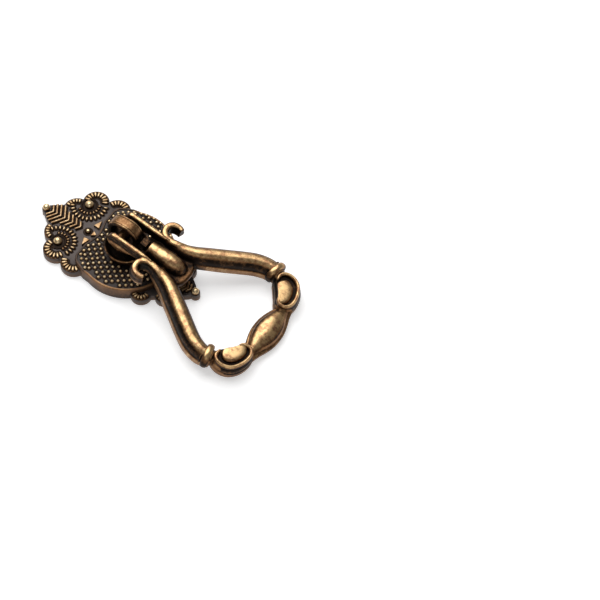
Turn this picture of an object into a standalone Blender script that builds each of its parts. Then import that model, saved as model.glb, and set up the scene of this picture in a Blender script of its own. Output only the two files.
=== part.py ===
"""Drop handle for a drawer or cupboard door: backplate, post, pivot pin and bail.

Metres, +Z up. The origin lies on the fixing screw's axis, in the plane of the backplate's back.
+Y runs to the backplate's crested head, and the bail hangs towards -Y with its grip resting on
the surface that the backplate lies on.
"""

import math

import bmesh
import bpy
from mathutils import Matrix, Vector

MM = 0.001

# Clearances
PIN_CLEARANCE = 0.30 * MM
SPIGOT_CLEARANCE = 0.30 * MM
SEAT_GAP = 0.30 * MM
REST_GAP = 0.15 * MM

# Backplate
SLAB_THICKNESS = 2.2 * MM
EDGE_ROUND = 0.5 * MM
RIM_WIDTH = 0.75 * MM
RIM_HEIGHT = 0.3 * MM
HEAD_REACH = 28.4 * MM
HEAD_TIP_RADIUS = 1.5 * MM
CREST_HALF_WIDTH = 3.9 * MM
TAIL_REACH = 22.9 * MM
TAIL_TIP_RADIUS = 1.9 * MM
TAIL_NECK_HALF_WIDTH = 3.2 * MM
TAIL_BALL_INSET = 0.5 * MM
FIELD_RADIUS = 13.7 * MM
FIELD_HEIGHT = 3.9 * MM
FIELD_RIM_HEIGHT = 4.3 * MM
FIELD_RIM_WIDTH = 0.55 * MM
SHOULDER_REACH = 11.3 * MM
SHOULDER_DIP = 1.2 * MM
SHOULDER_NECK = 4.5 * MM
SHOULDER_HALF_WIDTH = 9.3 * MM
SHOULDER_CORNER = 11.5 * MM
SHOULDER_DROP = 1.9 * MM
SHOULDER_ANGLE = 24
EYE_OFFSET = 7.6 * MM
EYE_REACH = 18.8 * MM
EYE_DOME_RADIUS = 1.45 * MM
ROSETTE_RADIUS = 4.3 * MM
EYE_FAN_COUNT = 11
EYE_FAN_LENGTH = 1.4 * MM
EYE_FAN_ANGLES = (150, 290)
BEAK_REACH = 13.8 * MM
BEAK_RADIUS = 0.95 * MM
SPIGOT_RADIUS = 3.6 * MM
# Side lobes: centre across, centre along and radius, from head to tail
LOBES = (
    (4.6 * MM, 21.1 * MM, 3.9 * MM),
    (9.6 * MM, 17.9 * MM, 3.85 * MM),
    (10.5 * MM, 11.1 * MM, 3.9 * MM),
    (8.4 * MM, -10.7 * MM, 3.05 * MM),
    (5.3 * MM, -16.7 * MM, 2.9 * MM),
)
# Radial ridges of each lobe: first and last angle, and how many
LOBE_FAN_ANGLES = ((10, 110), (-48, 104), (-50, 66), (-88, 34), (-104, 38))
LOBE_FAN_COUNTS = (6, 9, 6, 6, 6)
# How far each chevron's arms reach to the side, from the head's tip inwards and from the tail's
CREST_CHEVRONS = (1.9 * MM, 2.7 * MM, 3.25 * MM, 3.5 * MM, 2.3 * MM, 2.05 * MM, 1.75 * MM, 1.45 * MM)
TAIL_CHEVRONS = (1.4 * MM, 1.8 * MM, 2.1 * MM)
CREST_CHEVRON_INSET = 2.4 * MM
TAIL_CHEVRON_INSET = 1.6 * MM
CHEVRON_PITCH = 1.375 * MM
TAIL_CHEVRON_PITCH = 1.05 * MM
CHEVRON_WIDTH = 0.8 * MM
CHEVRON_HEIGHT = 0.55 * MM
CHEVRON_SLOPE = 0.64
ORNAMENT_ROOT = 0.4 * MM
# Small pyramids between the eyes and the dotted field, as (across, along), and how each is turned
PYRAMIDS = ((2.4 * MM, 13.4 * MM), (5.0 * MM, 12.5 * MM))
PYRAMID_ANGLES = (20, 75)
PYRAMID_RADIUS = 0.8 * MM
PETAL_LENGTH = 1.3 * MM
PETAL_WIDTH = 0.6 * MM
PETAL_HEIGHT = 0.42 * MM
DOT_RADIUS = 0.42 * MM
DOT_PITCH = 2.04 * MM
DOT_ROW_PITCH = 1.33 * MM
DOT_SHIFT = 0.27 * MM
DOT_MARGIN = 0.3 * MM

# Post
FLANGE_RADIUS = 6.4 * MM
FLANGE_HEIGHT = 3.1 * MM
FLANGE_LIP = 0.6 * MM
FLANGE_DISH = 1.7 * MM
FLANGE_FOOT = 0.9 * MM
EYE_LENGTH = 9.8 * MM
EYE_WIDTH = 3.9 * MM
EYE_WALL = 1.3 * MM
EYE_RISE = 4.8 * MM
EYE_EDGE = 0.35 * MM
SCREW_RADIUS = 1.65 * MM
SCREW_DEPTH = 7.0 * MM

# Pivot pin and the bail's fork
PIVOT_HEIGHT = 13.2 * MM
PIN_RADIUS = 1.3 * MM
PIN_EDGE = 0.25 * MM
EAR_RADIUS = 3.0 * MM
EAR_SHIFT = 0.5 * MM
EAR_HALF_LENGTH = 2.7 * MM
EAR_THICKNESS = 1.4 * MM
EAR_INNER = 3.5 * MM
EAR_REACH = 11.4 * MM
EAR_ROOT_DEPTH = 3.6 * MM
EAR_EDGE = 0.4 * MM
EAR_ARC_ANGLES = (-70, -270)

# Bail, measured along it from the pin and down from its top plane
BAIL_DEPTH = 5.4 * MM
BOSS_START = 8.5 * MM
BOSS_END = 20.6 * MM
BOSS_RADIUS = 3.0 * MM
CROTCH_REACH = 22.2 * MM
WEB_TOP = 2.2 * MM
WEB_BOTTOM = 4.9 * MM
WEB_EDGE = 0.5 * MM
WEB_HALF_WIDTH = 5.6 * MM
WEB_NOSE_HALF_WIDTH = 2.6 * MM
ARM_RADIUS = 3.1 * MM
ARM_ROOT_REACH = 11.5 * MM
ARM_ROOT_OFFSET = 4.7 * MM
# Arm from its root to past the collar: shares of the way along and across, and of its radius
ARM_SHARES = (
    (0, 0, 0.42), (0.072, 0, 0.66), (0.168, 0.025, 0.83), (0.278, 0.124, 0.96), (0.395, 0.298, 1),
    (0.533, 0.495, 1), (0.663, 0.705, 1), (0.79, 0.888, 0.97), (0.897, 0.968, 0.92), (0.988, 1.002, 0.9),
    (1.076, 0.989, 0.85),
)
SCROLL_REACH = 11.2 * MM
SCROLL_RADIUS = 2.43 * MM
SCROLL_WIDTH = 1.65 * MM
SCROLL_DEPTH = 3.0 * MM
SCROLL_DROP = 0.25 * MM
SCROLL_TURN = 218
GRIP_HALF_LENGTH = 7.4 * MM
GRIP_RADIUS = 4.3 * MM
GRIP_NECK_RADIUS = 2.9 * MM
GRIP_END = 2.6 * MM
COLLAR_REACH = 39.9 * MM
COLLAR_BEYOND_GRIP = 9.6 * MM
COLLAR_OFFSET = GRIP_HALF_LENGTH + COLLAR_BEYOND_GRIP
COLLAR_RADIUS = 3.4 * MM
COLLAR_WIDTH = 1.9 * MM
COLLAR_FLATTENING = 0.86
GRIP_BEYOND_COLLAR = 9.1 * MM
GRIP_REACH = COLLAR_REACH + GRIP_BEYOND_COLLAR
PAD_DEPTH = 4.9 * MM
PAD_ROUND = 0.95 * MM
PAD_RIM_WIDTH = 1.25 * MM
PAD_GROOVE_WIDTH = 0.85 * MM
PAD_GROOVE_DEPTH = 0.7 * MM
PAD_INSIDE_COLLAR = 3.9 * MM
PAD_BEYOND_COLLAR = 6.7 * MM
# Kidney-shaped pad, as (across, along) from its middle
PAD_SHAPE = (
    (1.4 * MM, -4.6 * MM), (3.3 * MM, -4.5 * MM), (4.6 * MM, -3.2 * MM), (4.9 * MM, -1.1 * MM),
    (4.0 * MM, 1.4 * MM), (2.0 * MM, 3.2 * MM), (-0.7 * MM, 4.1 * MM), (-3.4 * MM, 4.0 * MM),
    (-5.0 * MM, 2.8 * MM), (-5.4 * MM, 1.0 * MM), (-4.7 * MM, -0.5 * MM), (-2.6 * MM, -1.2 * MM),
    (-0.4 * MM, -2.5 * MM), (0.6 * MM, -3.8 * MM),
)


def clear_scene():
    for item in list(bpy.data.objects):
        bpy.data.objects.remove(item, do_unlink=True)
    for mesh in list(bpy.data.meshes):
        bpy.data.meshes.remove(mesh)


def metal_material(name, colour, roughness):
    material = bpy.data.materials.new(name)
    material.use_nodes = True
    shader = material.node_tree.nodes["Principled BSDF"]
    shader.inputs["Base Color"].default_value = (*colour, 1.0)
    shader.inputs["Metallic"].default_value = 1.0
    shader.inputs["Roughness"].default_value = roughness
    material.diffuse_color = (*colour, 1.0)
    return material


def add_mirror_image(bm):
    """Adds the left-hand twin of everything in the mesh."""
    twins = {}
    for vertex in list(bm.verts):
        twins[vertex] = bm.verts.new((-vertex.co.x, vertex.co.y, vertex.co.z))
    for face in list(bm.faces):
        bm.faces.new([twins[vertex] for vertex in reversed(face.verts)])


def object_from_bmesh(name, bm, parent=None, tool=False, both_sides=False):
    bmesh.ops.recalc_face_normals(bm, faces=bm.faces)
    if both_sides:
        add_mirror_image(bm)
    mesh = bpy.data.meshes.new(name)
    bm.to_mesh(mesh)
    bm.free()
    item = bpy.data.objects.new(name, mesh)
    bpy.context.scene.collection.objects.link(item)
    item.parent = parent
    if tool:
        item.hide_render = True
        item.display_type = "WIRE"
    return item


def combine(target, tool, operation):
    modifier = target.modifiers.new(f"{operation.lower()} {tool.name}", "BOOLEAN")
    modifier.operation = operation
    modifier.solver = "EXACT"
    modifier.object = tool


def add_loft(bm, rings):
    """Skins a run of equal rings and closes both ends."""
    loops = [[bm.verts.new(point) for point in ring] for ring in rings]
    count = len(loops[0])
    for lower, upper in zip(loops, loops[1:]):
        for i in range(count):
            j = (i + 1) % count
            bm.faces.new((lower[i], lower[j], upper[j], upper[i]))
    bm.faces.new(loops[0])
    bm.faces.new(loops[-1])


def add_turned(bm, profile, segments, place):
    """Turns a profile of (radius, height) points; a radius of zero makes a pole."""
    rows = []
    for radius, height in profile:
        if radius == 0:
            rows.append([bm.verts.new(place @ Vector((0, 0, height)))])
            continue
        row = []
        for i in range(segments):
            angle = 2 * math.pi * i / segments
            point = Vector((radius * math.cos(angle), radius * math.sin(angle), height))
            row.append(bm.verts.new(place @ point))
        rows.append(row)
    for low, high in zip(rows, rows[1:]):
        for i in range(segments):
            j = (i + 1) % segments
            corners = [low[i % len(low)], low[j % len(low)], high[j % len(high)], high[i % len(high)]]
            unique = list(dict.fromkeys(corners))
            bm.faces.new(unique)
    for row in (rows[0], rows[-1]):
        if len(row) > 1:
            bm.faces.new(row)


def add_prism(bm, outline, bottom, top):
    """Raises a flat outline of (x, y) points from one height to another."""
    rings = [[Vector((x, y, z)) for x, y in outline] for z in (bottom, top)]
    add_loft(bm, rings)


def mirrored_outline(half):
    """Closes a right-hand run of (x, y) points with its mirror image."""
    left = [(-x, y) for x, y in reversed(half) if x > 0]
    return list(half) + left


def arc(centre, radius, start, end, steps):
    """Points round an arc, angles in degrees."""
    points = []
    for i in range(steps + 1):
        angle = math.radians(start + (end - start) * i / steps)
        point = (centre[0] + radius * math.cos(angle), centre[1] + radius * math.sin(angle))
        points.append(point)
    return points


def smooth_run(knots, per_span):
    """A smooth curve through knots of any length, by the Catmull-Rom rule."""
    run = []
    padded = [knots[0], *knots, knots[-1]]
    for before, a, b, after in zip(padded, padded[1:], padded[2:], padded[3:]):
        for i in range(per_span):
            t = i / per_span
            point = []
            for p, q, r, s in zip(before, a, b, after):
                square = 2 * p - 5 * q + 4 * r - s
                cube = 3 * q - p - 3 * r + s
                point.append(0.5 * (2 * q + (r - p) * t + square * t * t + cube * t ** 3))
            run.append(tuple(point))
    run.append(tuple(knots[-1]))
    return run


def add_sweep(bm, run, height, sides, depth=None):
    """Sweeps a circle, or an oval of a set depth, along (x, y, half width) points at one height."""
    rings = []
    for i, (x, y, half_width) in enumerate(run):
        back = Vector(run[max(i - 1, 0)][:2])
        ahead = Vector(run[min(i + 1, len(run) - 1)][:2])
        along = (ahead - back).normalized()
        across = Vector((along.y, -along.x, 0))
        half_depth = depth / 2 if depth else half_width
        ring = []
        for k in range(sides):
            angle = 2 * math.pi * k / sides
            ring.append(Vector((x, y, height)) + across * half_width * math.cos(angle)
                        + Vector((0, 0, half_depth * math.sin(angle))))
        rings.append(ring)
    add_loft(bm, rings)


def plate_outline():
    """The flat web that the lobes stand on, from the head's tip to the tail's."""
    half = [
        (0, HEAD_REACH),
        (HEAD_TIP_RADIUS, HEAD_REACH - 0.6 * HEAD_TIP_RADIUS),
        (CREST_HALF_WIDTH, LOBES[0][1] + LOBES[0][2] * 1.15),
        (LOBES[0][0], LOBES[0][1]),
        (LOBES[1][0], LOBES[1][1]),
        (LOBES[2][0], LOBES[2][1]),
        (LOBES[3][0], LOBES[3][1]),
        (LOBES[4][0], LOBES[4][1]),
        (TAIL_NECK_HALF_WIDTH, LOBES[4][1] - LOBES[4][2]),
        (TAIL_TIP_RADIUS, -TAIL_REACH),
    ]
    return mirrored_outline(half)


def lobe_profile(radius):
    """A low turned disc with a rounded edge and a raised rim."""
    rim = SLAB_THICKNESS + RIM_HEIGHT
    ground = SLAB_THICKNESS - 0.5 * RIM_HEIGHT
    return [
        (radius, 0),
        (radius, rim - EDGE_ROUND),
        (radius - EDGE_ROUND, rim),
        (radius - RIM_WIDTH, rim),
        (radius - RIM_WIDTH - RIM_HEIGHT, ground),
    ]


def make_lobes():
    tools = []
    for number, (across, along, radius) in enumerate(LOBES):
        bm = bmesh.new()
        add_turned(bm, lobe_profile(radius), 24, Matrix.Translation((across, along, 0)))
        tools.append(object_from_bmesh(f"lobe_{number}", bm, tool=True, both_sides=True))
    return tools


def make_tips():
    """Rounded ends under the balls at the head's tip and the tail's."""
    tools = []
    for name, along, radius in (("head_tip", HEAD_REACH, HEAD_TIP_RADIUS),
                                ("tail_tip", -TAIL_REACH, TAIL_TIP_RADIUS)):
        bm = bmesh.new()
        profile = [(0, 0), (radius - 0.2 * EDGE_ROUND, 0), (radius, 0.5 * EDGE_ROUND),
                   (radius, SLAB_THICKNESS - 0.6 * EDGE_ROUND), (radius - 0.6 * EDGE_ROUND, SLAB_THICKNESS),
                   (0, SLAB_THICKNESS)]
        add_turned(bm, profile, 20, Matrix.Translation((0, along, 0)))
        tools.append(object_from_bmesh(name, bm, tool=True))
    return tools


def field_outline(inset):
    """The dotted body: a disc with shoulders under the head."""
    radius = FIELD_RADIUS - inset
    top = SHOULDER_REACH - inset
    half = [(0, top - SHOULDER_DIP), (SHOULDER_NECK, top), (SHOULDER_HALF_WIDTH, top)]
    half.append((SHOULDER_CORNER - inset, SHOULDER_REACH - SHOULDER_DROP - 0.4 * inset))
    half += arc((0, 0), radius, SHOULDER_ANGLE, -90, 22)
    half[-1] = (0, -radius)
    return mirrored_outline(half)


def make_field():
    """Raised body with a thin rim, the dots' ground a little below it."""
    bm = bmesh.new()
    levels = [
        (0.35 * EDGE_ROUND, 0),
        (0, 0.6 * EDGE_ROUND),
        (0, FIELD_RIM_HEIGHT - 0.8 * EDGE_ROUND),
        (0.3 * EDGE_ROUND, FIELD_RIM_HEIGHT - 0.1 * EDGE_ROUND),
        (FIELD_RIM_WIDTH, FIELD_RIM_HEIGHT),
        (FIELD_RIM_WIDTH + FIELD_RIM_HEIGHT - FIELD_HEIGHT, FIELD_HEIGHT),
    ]
    rings = [[Vector((x, y, z)) for x, y in field_outline(inset)] for inset, z in levels]
    add_loft(bm, rings)
    return object_from_bmesh("dotted_field", bm, tool=True)


def on_field(x, y, margin):
    """True where a dot stands clear of the field's rim and of the post's flange."""
    reach = math.hypot(x, y)
    edge = FIELD_RIM_WIDTH + margin
    if reach < FLANGE_RADIUS + margin or reach > FIELD_RADIUS - edge:
        return False
    dip = SHOULDER_DIP if abs(x) < SHOULDER_NECK else 0
    return y < SHOULDER_REACH - dip - edge


def make_dots():
    """Staggered rows of small cones; the rows' start is shifted a little to one side."""
    profile = [(1.3 * DOT_RADIUS, -0.3 * DOT_RADIUS), (0, 1.1 * DOT_RADIUS)]
    bm = bmesh.new()
    rows = int(FIELD_RADIUS / DOT_ROW_PITCH)
    columns = int(FIELD_RADIUS / DOT_PITCH) + 1
    for row in range(-rows, rows + 1):
        stagger = 0 if row % 2 else 0.5 * DOT_PITCH
        for column in range(-columns, columns + 1):
            x = DOT_SHIFT + stagger + column * DOT_PITCH
            y = row * DOT_ROW_PITCH
            if on_field(x, y, DOT_RADIUS + DOT_MARGIN):
                add_turned(bm, profile, 6, Matrix.Translation((x, y, FIELD_HEIGHT)))
    return object_from_bmesh("dots", bm, tool=True)


def add_chevron(bm, apex, reach):
    """A ridge in the form of a V whose point looks down the plate."""
    low = SLAB_THICKNESS - ORNAMENT_ROOT
    top = SLAB_THICKNESS + CHEVRON_HEIGHT
    rings = []
    for x in (-reach, 0, reach):
        y = apex + CHEVRON_SLOPE * abs(x)
        rings.append([
            Vector((x, y - 0.5 * CHEVRON_WIDTH, low)),
            Vector((x, y + 0.5 * CHEVRON_WIDTH, low)),
            Vector((x, y + 0.2 * CHEVRON_WIDTH, top)),
            Vector((x, y - 0.2 * CHEVRON_WIDTH, top)),
        ])
    add_loft(bm, rings)


def make_chevrons():
    bm = bmesh.new()
    for number, reach in enumerate(CREST_CHEVRONS):
        add_chevron(bm, HEAD_REACH - CREST_CHEVRON_INSET - number * CHEVRON_PITCH, reach)
    for number, reach in enumerate(TAIL_CHEVRONS):
        add_chevron(bm, -TAIL_REACH + TAIL_CHEVRON_INSET + number * TAIL_CHEVRON_PITCH, reach)
    return object_from_bmesh("chevrons", bm, tool=True)


def add_petal(bm, centre, angle, radius, length):
    """A small radial ridge, broadest towards its outer end."""
    place = Matrix.Translation((*centre, SLAB_THICKNESS)) @ Matrix.Rotation(angle, 4, "Z")
    rings = []
    for reach, width, height in ((0, 0.6, 0.5), (0.6, 1.15, 1), (1, 0.8, 0.5)):
        x = radius + (reach - 0.5) * length
        half = width * PETAL_WIDTH / 2
        section = [(-half, -ORNAMENT_ROOT), (half, -ORNAMENT_ROOT), (0, height * PETAL_HEIGHT)]
        rings.append([place @ Vector((x, y, z)) for y, z in section])
    add_loft(bm, rings)


def make_petals():
    """Radial ridges inside each lobe's rim."""
    tools = []
    for (across, along, radius), (start, end), count in zip(LOBES, LOBE_FAN_ANGLES, LOBE_FAN_COUNTS):
        bm = bmesh.new()
        for i in range(count):
            angle = math.radians(start + (end - start) * i / (count - 1))
            reach = radius - RIM_WIDTH - PETAL_LENGTH / 2
            add_petal(bm, (across, along), angle, reach, PETAL_LENGTH)
        tools.append(object_from_bmesh("petals", bm, tool=True, both_sides=True))
    return tools


def make_pyramids():
    """Pairs of small pyramids."""
    profile = [(PYRAMID_RADIUS, -ORNAMENT_ROOT), (PYRAMID_RADIUS, 0), (0, 0.7 * PYRAMID_RADIUS)]
    bm = bmesh.new()
    for (across, along), degrees in zip(PYRAMIDS, PYRAMID_ANGLES):
        place = Matrix.Translation((across, along, SLAB_THICKNESS))
        add_turned(bm, profile, 3, place @ Matrix.Rotation(math.radians(degrees), 4, "Z"))
    return object_from_bmesh("pyramids", bm, tool=True, both_sides=True)


def dome_profile(radius):
    """A ball's upper part, carried a little below its ground."""
    profile = [(0, -0.9 * radius)]
    for degrees in (-40, -10, 20, 45, 70):
        angle = math.radians(degrees)
        profile.append((radius * math.cos(angle), radius * math.sin(angle)))
    return profile + [(0, radius)]


def make_domes():
    """The eyes, and the balls at the tip, at the tail and between the eyes."""
    places = (
        (-EYE_OFFSET, EYE_REACH, EYE_DOME_RADIUS),
        (EYE_OFFSET, EYE_REACH, EYE_DOME_RADIUS),
        (0, HEAD_REACH, 0.9 * HEAD_TIP_RADIUS),
        (0, BEAK_REACH, BEAK_RADIUS),
        (0, -TAIL_REACH - TAIL_BALL_INSET, 0.7 * TAIL_TIP_RADIUS),
    )
    bm = bmesh.new()
    for across, along, radius in places:
        base = SLAB_THICKNESS - 0.3 * radius
        add_turned(bm, dome_profile(radius), 12, Matrix.Translation((across, along, base)))
    return object_from_bmesh("domes", bm, tool=True)


def make_eye_fan():
    """The fan of small ridges round the inner side of each eye."""
    start, end = EYE_FAN_ANGLES
    bm = bmesh.new()
    for i in range(EYE_FAN_COUNT):
        angle = math.radians(start + (end - start) * i / (EYE_FAN_COUNT - 1))
        add_petal(bm, (EYE_OFFSET, EYE_REACH), angle, ROSETTE_RADIUS, EYE_FAN_LENGTH)
    return object_from_bmesh("eye_fan", bm, tool=True, both_sides=True)


def make_backplate(material):
    bm = bmesh.new()
    add_prism(bm, plate_outline(), 0, SLAB_THICKNESS)
    plate = object_from_bmesh("backplate", bm)
    plate.data.materials.append(material)
    tools = make_lobes() + make_tips() + [make_field(), make_chevrons(), make_domes(), make_dots()]
    tools += make_petals() + [make_eye_fan(), make_pyramids()]
    for tool in tools:
        combine(plate, tool, "UNION")
    bm = bmesh.new()
    radius = SPIGOT_RADIUS + SPIGOT_CLEARANCE
    hole = [(radius, -SLAB_THICKNESS), (radius, FIELD_RIM_HEIGHT + SLAB_THICKNESS)]
    add_turned(bm, hole, 32, Matrix.Identity(4))
    combine(plate, object_from_bmesh("spigot_hole", bm, tool=True), "DIFFERENCE")
    return plate


def make_post(material):
    """Dished flange, spigot and arched eye, cast in one, tapped for the fixing screw."""
    seat = FIELD_HEIGHT + SEAT_GAP
    rim = seat + FLANGE_HEIGHT
    bm = bmesh.new()
    profile = [
        (0, SEAT_GAP),
        (SPIGOT_RADIUS, SEAT_GAP),
        (SPIGOT_RADIUS, seat),
        (FLANGE_RADIUS - FLANGE_FOOT, seat),
        (FLANGE_RADIUS - 0.4 * FLANGE_FOOT, seat + 0.5 * FLANGE_HEIGHT),
        (FLANGE_RADIUS, rim - 0.4 * FLANGE_LIP),
        (FLANGE_RADIUS - 0.3 * FLANGE_LIP, rim),
        (FLANGE_RADIUS - FLANGE_LIP, rim - 0.1 * FLANGE_LIP),
        (FLANGE_RADIUS - FLANGE_LIP - FLANGE_FOOT, rim - FLANGE_DISH),
        (0, rim - FLANGE_DISH),
    ]
    add_turned(bm, profile, 48, Matrix.Identity(4))
    post = object_from_bmesh("post", bm)
    post.data.materials.append(material)
    combine(post, make_eye_block(seat), "UNION")
    combine(post, make_eye_opening(), "DIFFERENCE")
    bm = bmesh.new()
    bore = [(SCREW_RADIUS, 0), (SCREW_RADIUS, SCREW_DEPTH), (0, SCREW_DEPTH + 0.6 * SCREW_RADIUS)]
    add_turned(bm, bore, 20, Matrix.Identity(4))
    combine(post, object_from_bmesh("screw_bore", bm, tool=True), "DIFFERENCE")
    return post


def eye_outline(inset, bottom):
    """Outline of the arch in the (along, height) plane."""
    half_length = EYE_LENGTH / 2 - inset
    outline = [(half_length, bottom)]
    for i in range(13):
        angle = math.pi * i / 12
        height = PIVOT_HEIGHT + (EYE_RISE - inset) * math.sin(angle)
        outline.append((half_length * math.cos(angle), height))
    outline.append((-half_length, bottom))
    return outline


def make_eye_block(seat):
    bm = bmesh.new()
    half = EYE_WIDTH / 2
    rings = []
    for x, inset in ((-half, EYE_EDGE), (-half + EYE_EDGE, 0), (half - EYE_EDGE, 0), (half, EYE_EDGE)):
        outline = eye_outline(inset, seat + 0.1 * FLANGE_DISH)
        rings.append([Vector((x, y, z)) for y, z in outline])
    add_loft(bm, rings)
    return object_from_bmesh("eye_block", bm, tool=True)


def make_eye_opening():
    """The pin's way through the eye, longer than the pin so that the bail hangs loose."""
    bm = bmesh.new()
    floor = PIVOT_HEIGHT - PIN_RADIUS - PIN_CLEARANCE
    rings = []
    for x in (-EYE_WIDTH, EYE_WIDTH):
        rings.append([Vector((x, y, z)) for y, z in eye_outline(EYE_WALL, floor)])
    add_loft(bm, rings)
    return object_from_bmesh("eye_opening", bm, tool=True)


def make_pin(material):
    bm = bmesh.new()
    half = EAR_INNER + EAR_THICKNESS
    profile = [(0, -half), (PIN_RADIUS - PIN_EDGE, -half), (PIN_RADIUS, -half + PIN_EDGE),
               (PIN_RADIUS, half - PIN_EDGE), (PIN_RADIUS - PIN_EDGE, half), (0, half)]
    add_turned(bm, profile, 24, Matrix.Rotation(math.radians(90), 4, "Y"))
    pin = object_from_bmesh("pivot_pin", bm)
    pin.location = (0, 0, PIVOT_HEIGHT)
    pin.data.materials.append(material)
    return pin


def bail_tilt():
    """The angle at which the grip just rests on the surface under the backplate."""
    arm = EAR_RADIUS - BAIL_DEPTH / 2
    drop = PIVOT_HEIGHT - BAIL_DEPTH / 2 - REST_GAP
    return math.asin(drop / math.hypot(GRIP_REACH, arm)) + math.atan2(arm, GRIP_REACH)


def bail_height(depth):
    """Height above the pin, in the bail's own frame, of a depth below its top plane."""
    return EAR_RADIUS - depth


def arm_run():
    knots = []
    for along, across, share in ARM_SHARES:
        x = ARM_ROOT_OFFSET + across * (COLLAR_OFFSET - ARM_ROOT_OFFSET)
        s = ARM_ROOT_REACH + along * (COLLAR_REACH - ARM_ROOT_REACH)
        knots.append((x, -s, share * ARM_RADIUS))
    return smooth_run(knots, 2)


def scroll_run():
    """Rises from the arm's root and curls outwards round a circle, tapering to a blunt tip."""
    half = SCROLL_WIDTH / 2
    centre = (ARM_ROOT_OFFSET + SCROLL_RADIUS, -SCROLL_REACH)
    curl = arc(centre, SCROLL_RADIUS, 180, 180 - SCROLL_TURN, 12)
    run = [(ARM_ROOT_OFFSET, -SCROLL_REACH - SCROLL_RADIUS, 1.5 * half)]
    run.append((ARM_ROOT_OFFSET, -SCROLL_REACH - 0.5 * SCROLL_RADIUS, 1.4 * half))
    for i, (x, y) in enumerate(curl):
        taper = max(1.0, 1.3 - 0.1 * i) if i < len(curl) - 2 else 0.85
        run.append((x, y, taper * half))
    return run


def make_arm(parent):
    bm = bmesh.new()
    add_sweep(bm, arm_run(), bail_height(1.03 * ARM_RADIUS), 16)
    return object_from_bmesh("arm", bm, parent, tool=True, both_sides=True)


def make_scroll(parent):
    bm = bmesh.new()
    add_sweep(bm, scroll_run(), bail_height(SCROLL_DROP + SCROLL_DEPTH / 2), 10, depth=SCROLL_DEPTH)
    return object_from_bmesh("scroll", bm, parent, tool=True, both_sides=True)


def ear_outline():
    """Ear seen from the side, in (along, height): round about the pin, tapering to its root."""
    outline = [(-EAR_REACH, EAR_RADIUS), (-EAR_REACH, EAR_RADIUS - EAR_ROOT_DEPTH)]
    for x, z in arc((0, 0), 1.0, *EAR_ARC_ANGLES, 16):
        outline.append((-EAR_SHIFT - x * EAR_HALF_LENGTH, z * EAR_RADIUS))
    return outline


def make_ear(parent):
    outline = ear_outline()
    middle = -0.4 * EAR_REACH
    outer = EAR_INNER + EAR_THICKNESS
    sections = (
        (EAR_INNER, 0.96),
        (EAR_INNER + 0.3 * EAR_EDGE, 1.0),
        (outer - EAR_EDGE, 1.0),
        (outer, 0.93),
    )
    rings = []
    for x, shrink in sections:
        rings.append([Vector((x, middle + (y - middle) * shrink, z * shrink)) for y, z in outline])
    bm = bmesh.new()
    add_loft(bm, rings)
    return object_from_bmesh("ear", bm, parent, tool=True, both_sides=True)


def make_boss(parent):
    """Bullet-shaped boss: flat towards the pin, rounded towards the bail's window."""
    length = BOSS_END - BOSS_START
    shape = ((0, 0), (0, 0.64), (0.12, 0.83), (0.33, 0.97), (0.58, 1.0), (0.78, 0.89), (0.93, 0.56),
             (1.0, 0))
    profile = [(share * BOSS_RADIUS, BOSS_START + reach * length) for reach, share in shape]
    turn = Matrix.Rotation(math.radians(90), 4, "X")
    place = Matrix.Translation((0, 0, bail_height(0.95 * BOSS_RADIUS)))
    bm = bmesh.new()
    add_turned(bm, profile, 20, place @ turn)
    return object_from_bmesh("boss", bm, parent, tool=True)


def make_web(parent):
    """Low web that ties ears, boss, scrolls and arms together."""
    outline = mirrored_outline([
        (0, -BOSS_START),
        (EAR_INNER + 0.6 * EAR_THICKNESS, -BOSS_START),
        (0.93 * WEB_HALF_WIDTH, -ARM_ROOT_REACH),
        (WEB_HALF_WIDTH, -0.77 * CROTCH_REACH),
        (0.9 * WEB_HALF_WIDTH, -0.92 * CROTCH_REACH),
        (WEB_NOSE_HALF_WIDTH, -0.97 * CROTCH_REACH),
        (0, -CROTCH_REACH),
    ])
    middle = -0.5 * (BOSS_START + CROTCH_REACH)
    levels = (
        (WEB_BOTTOM, 0.92),
        (WEB_BOTTOM - WEB_EDGE, 1.0),
        (WEB_TOP + WEB_EDGE, 1.0),
        (WEB_TOP, 0.94),
    )
    rings = []
    for depth, shrink in levels:
        height = bail_height(depth)
        rings.append([Vector((x * shrink, middle + (y - middle) * shrink, height)) for x, y in outline])
    bm = bmesh.new()
    add_loft(bm, rings)
    return object_from_bmesh("bail", bm, parent)


def make_collar(parent):
    """Bead collar between arm and pad."""
    shape = ((0, -0.5), (0.8, -0.5), (0.94, -0.36), (1.0, -0.12), (1.0, 0.12), (0.94, 0.36), (0.8, 0.5),
             (0, 0.5))
    profile = [(share * COLLAR_RADIUS, reach * COLLAR_WIDTH) for share, reach in shape]
    place = Matrix.Translation((COLLAR_OFFSET, -COLLAR_REACH, bail_height(0.955 * ARM_RADIUS)))
    turn = Matrix.Rotation(math.radians(90), 4, "X")
    bm = bmesh.new()
    add_turned(bm, profile, 18, place @ turn @ Matrix.Diagonal((1, COLLAR_FLATTENING, 1, 1)))
    return object_from_bmesh("collar", bm, parent, tool=True, both_sides=True)


def pad_outline(grow):
    """The pad's outline in the bail's plane, moved outwards from its middle."""
    closed = smooth_run([PAD_SHAPE[-1], *PAD_SHAPE, PAD_SHAPE[0]], 2)[2:-2]
    centre = Vector((COLLAR_OFFSET - PAD_INSIDE_COLLAR, -COLLAR_REACH - PAD_BEYOND_COLLAR))
    points = []
    for across, along in closed:
        away = Vector((across, -along))
        points.append(centre + away * (1 + grow / away.length))
    return points


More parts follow.
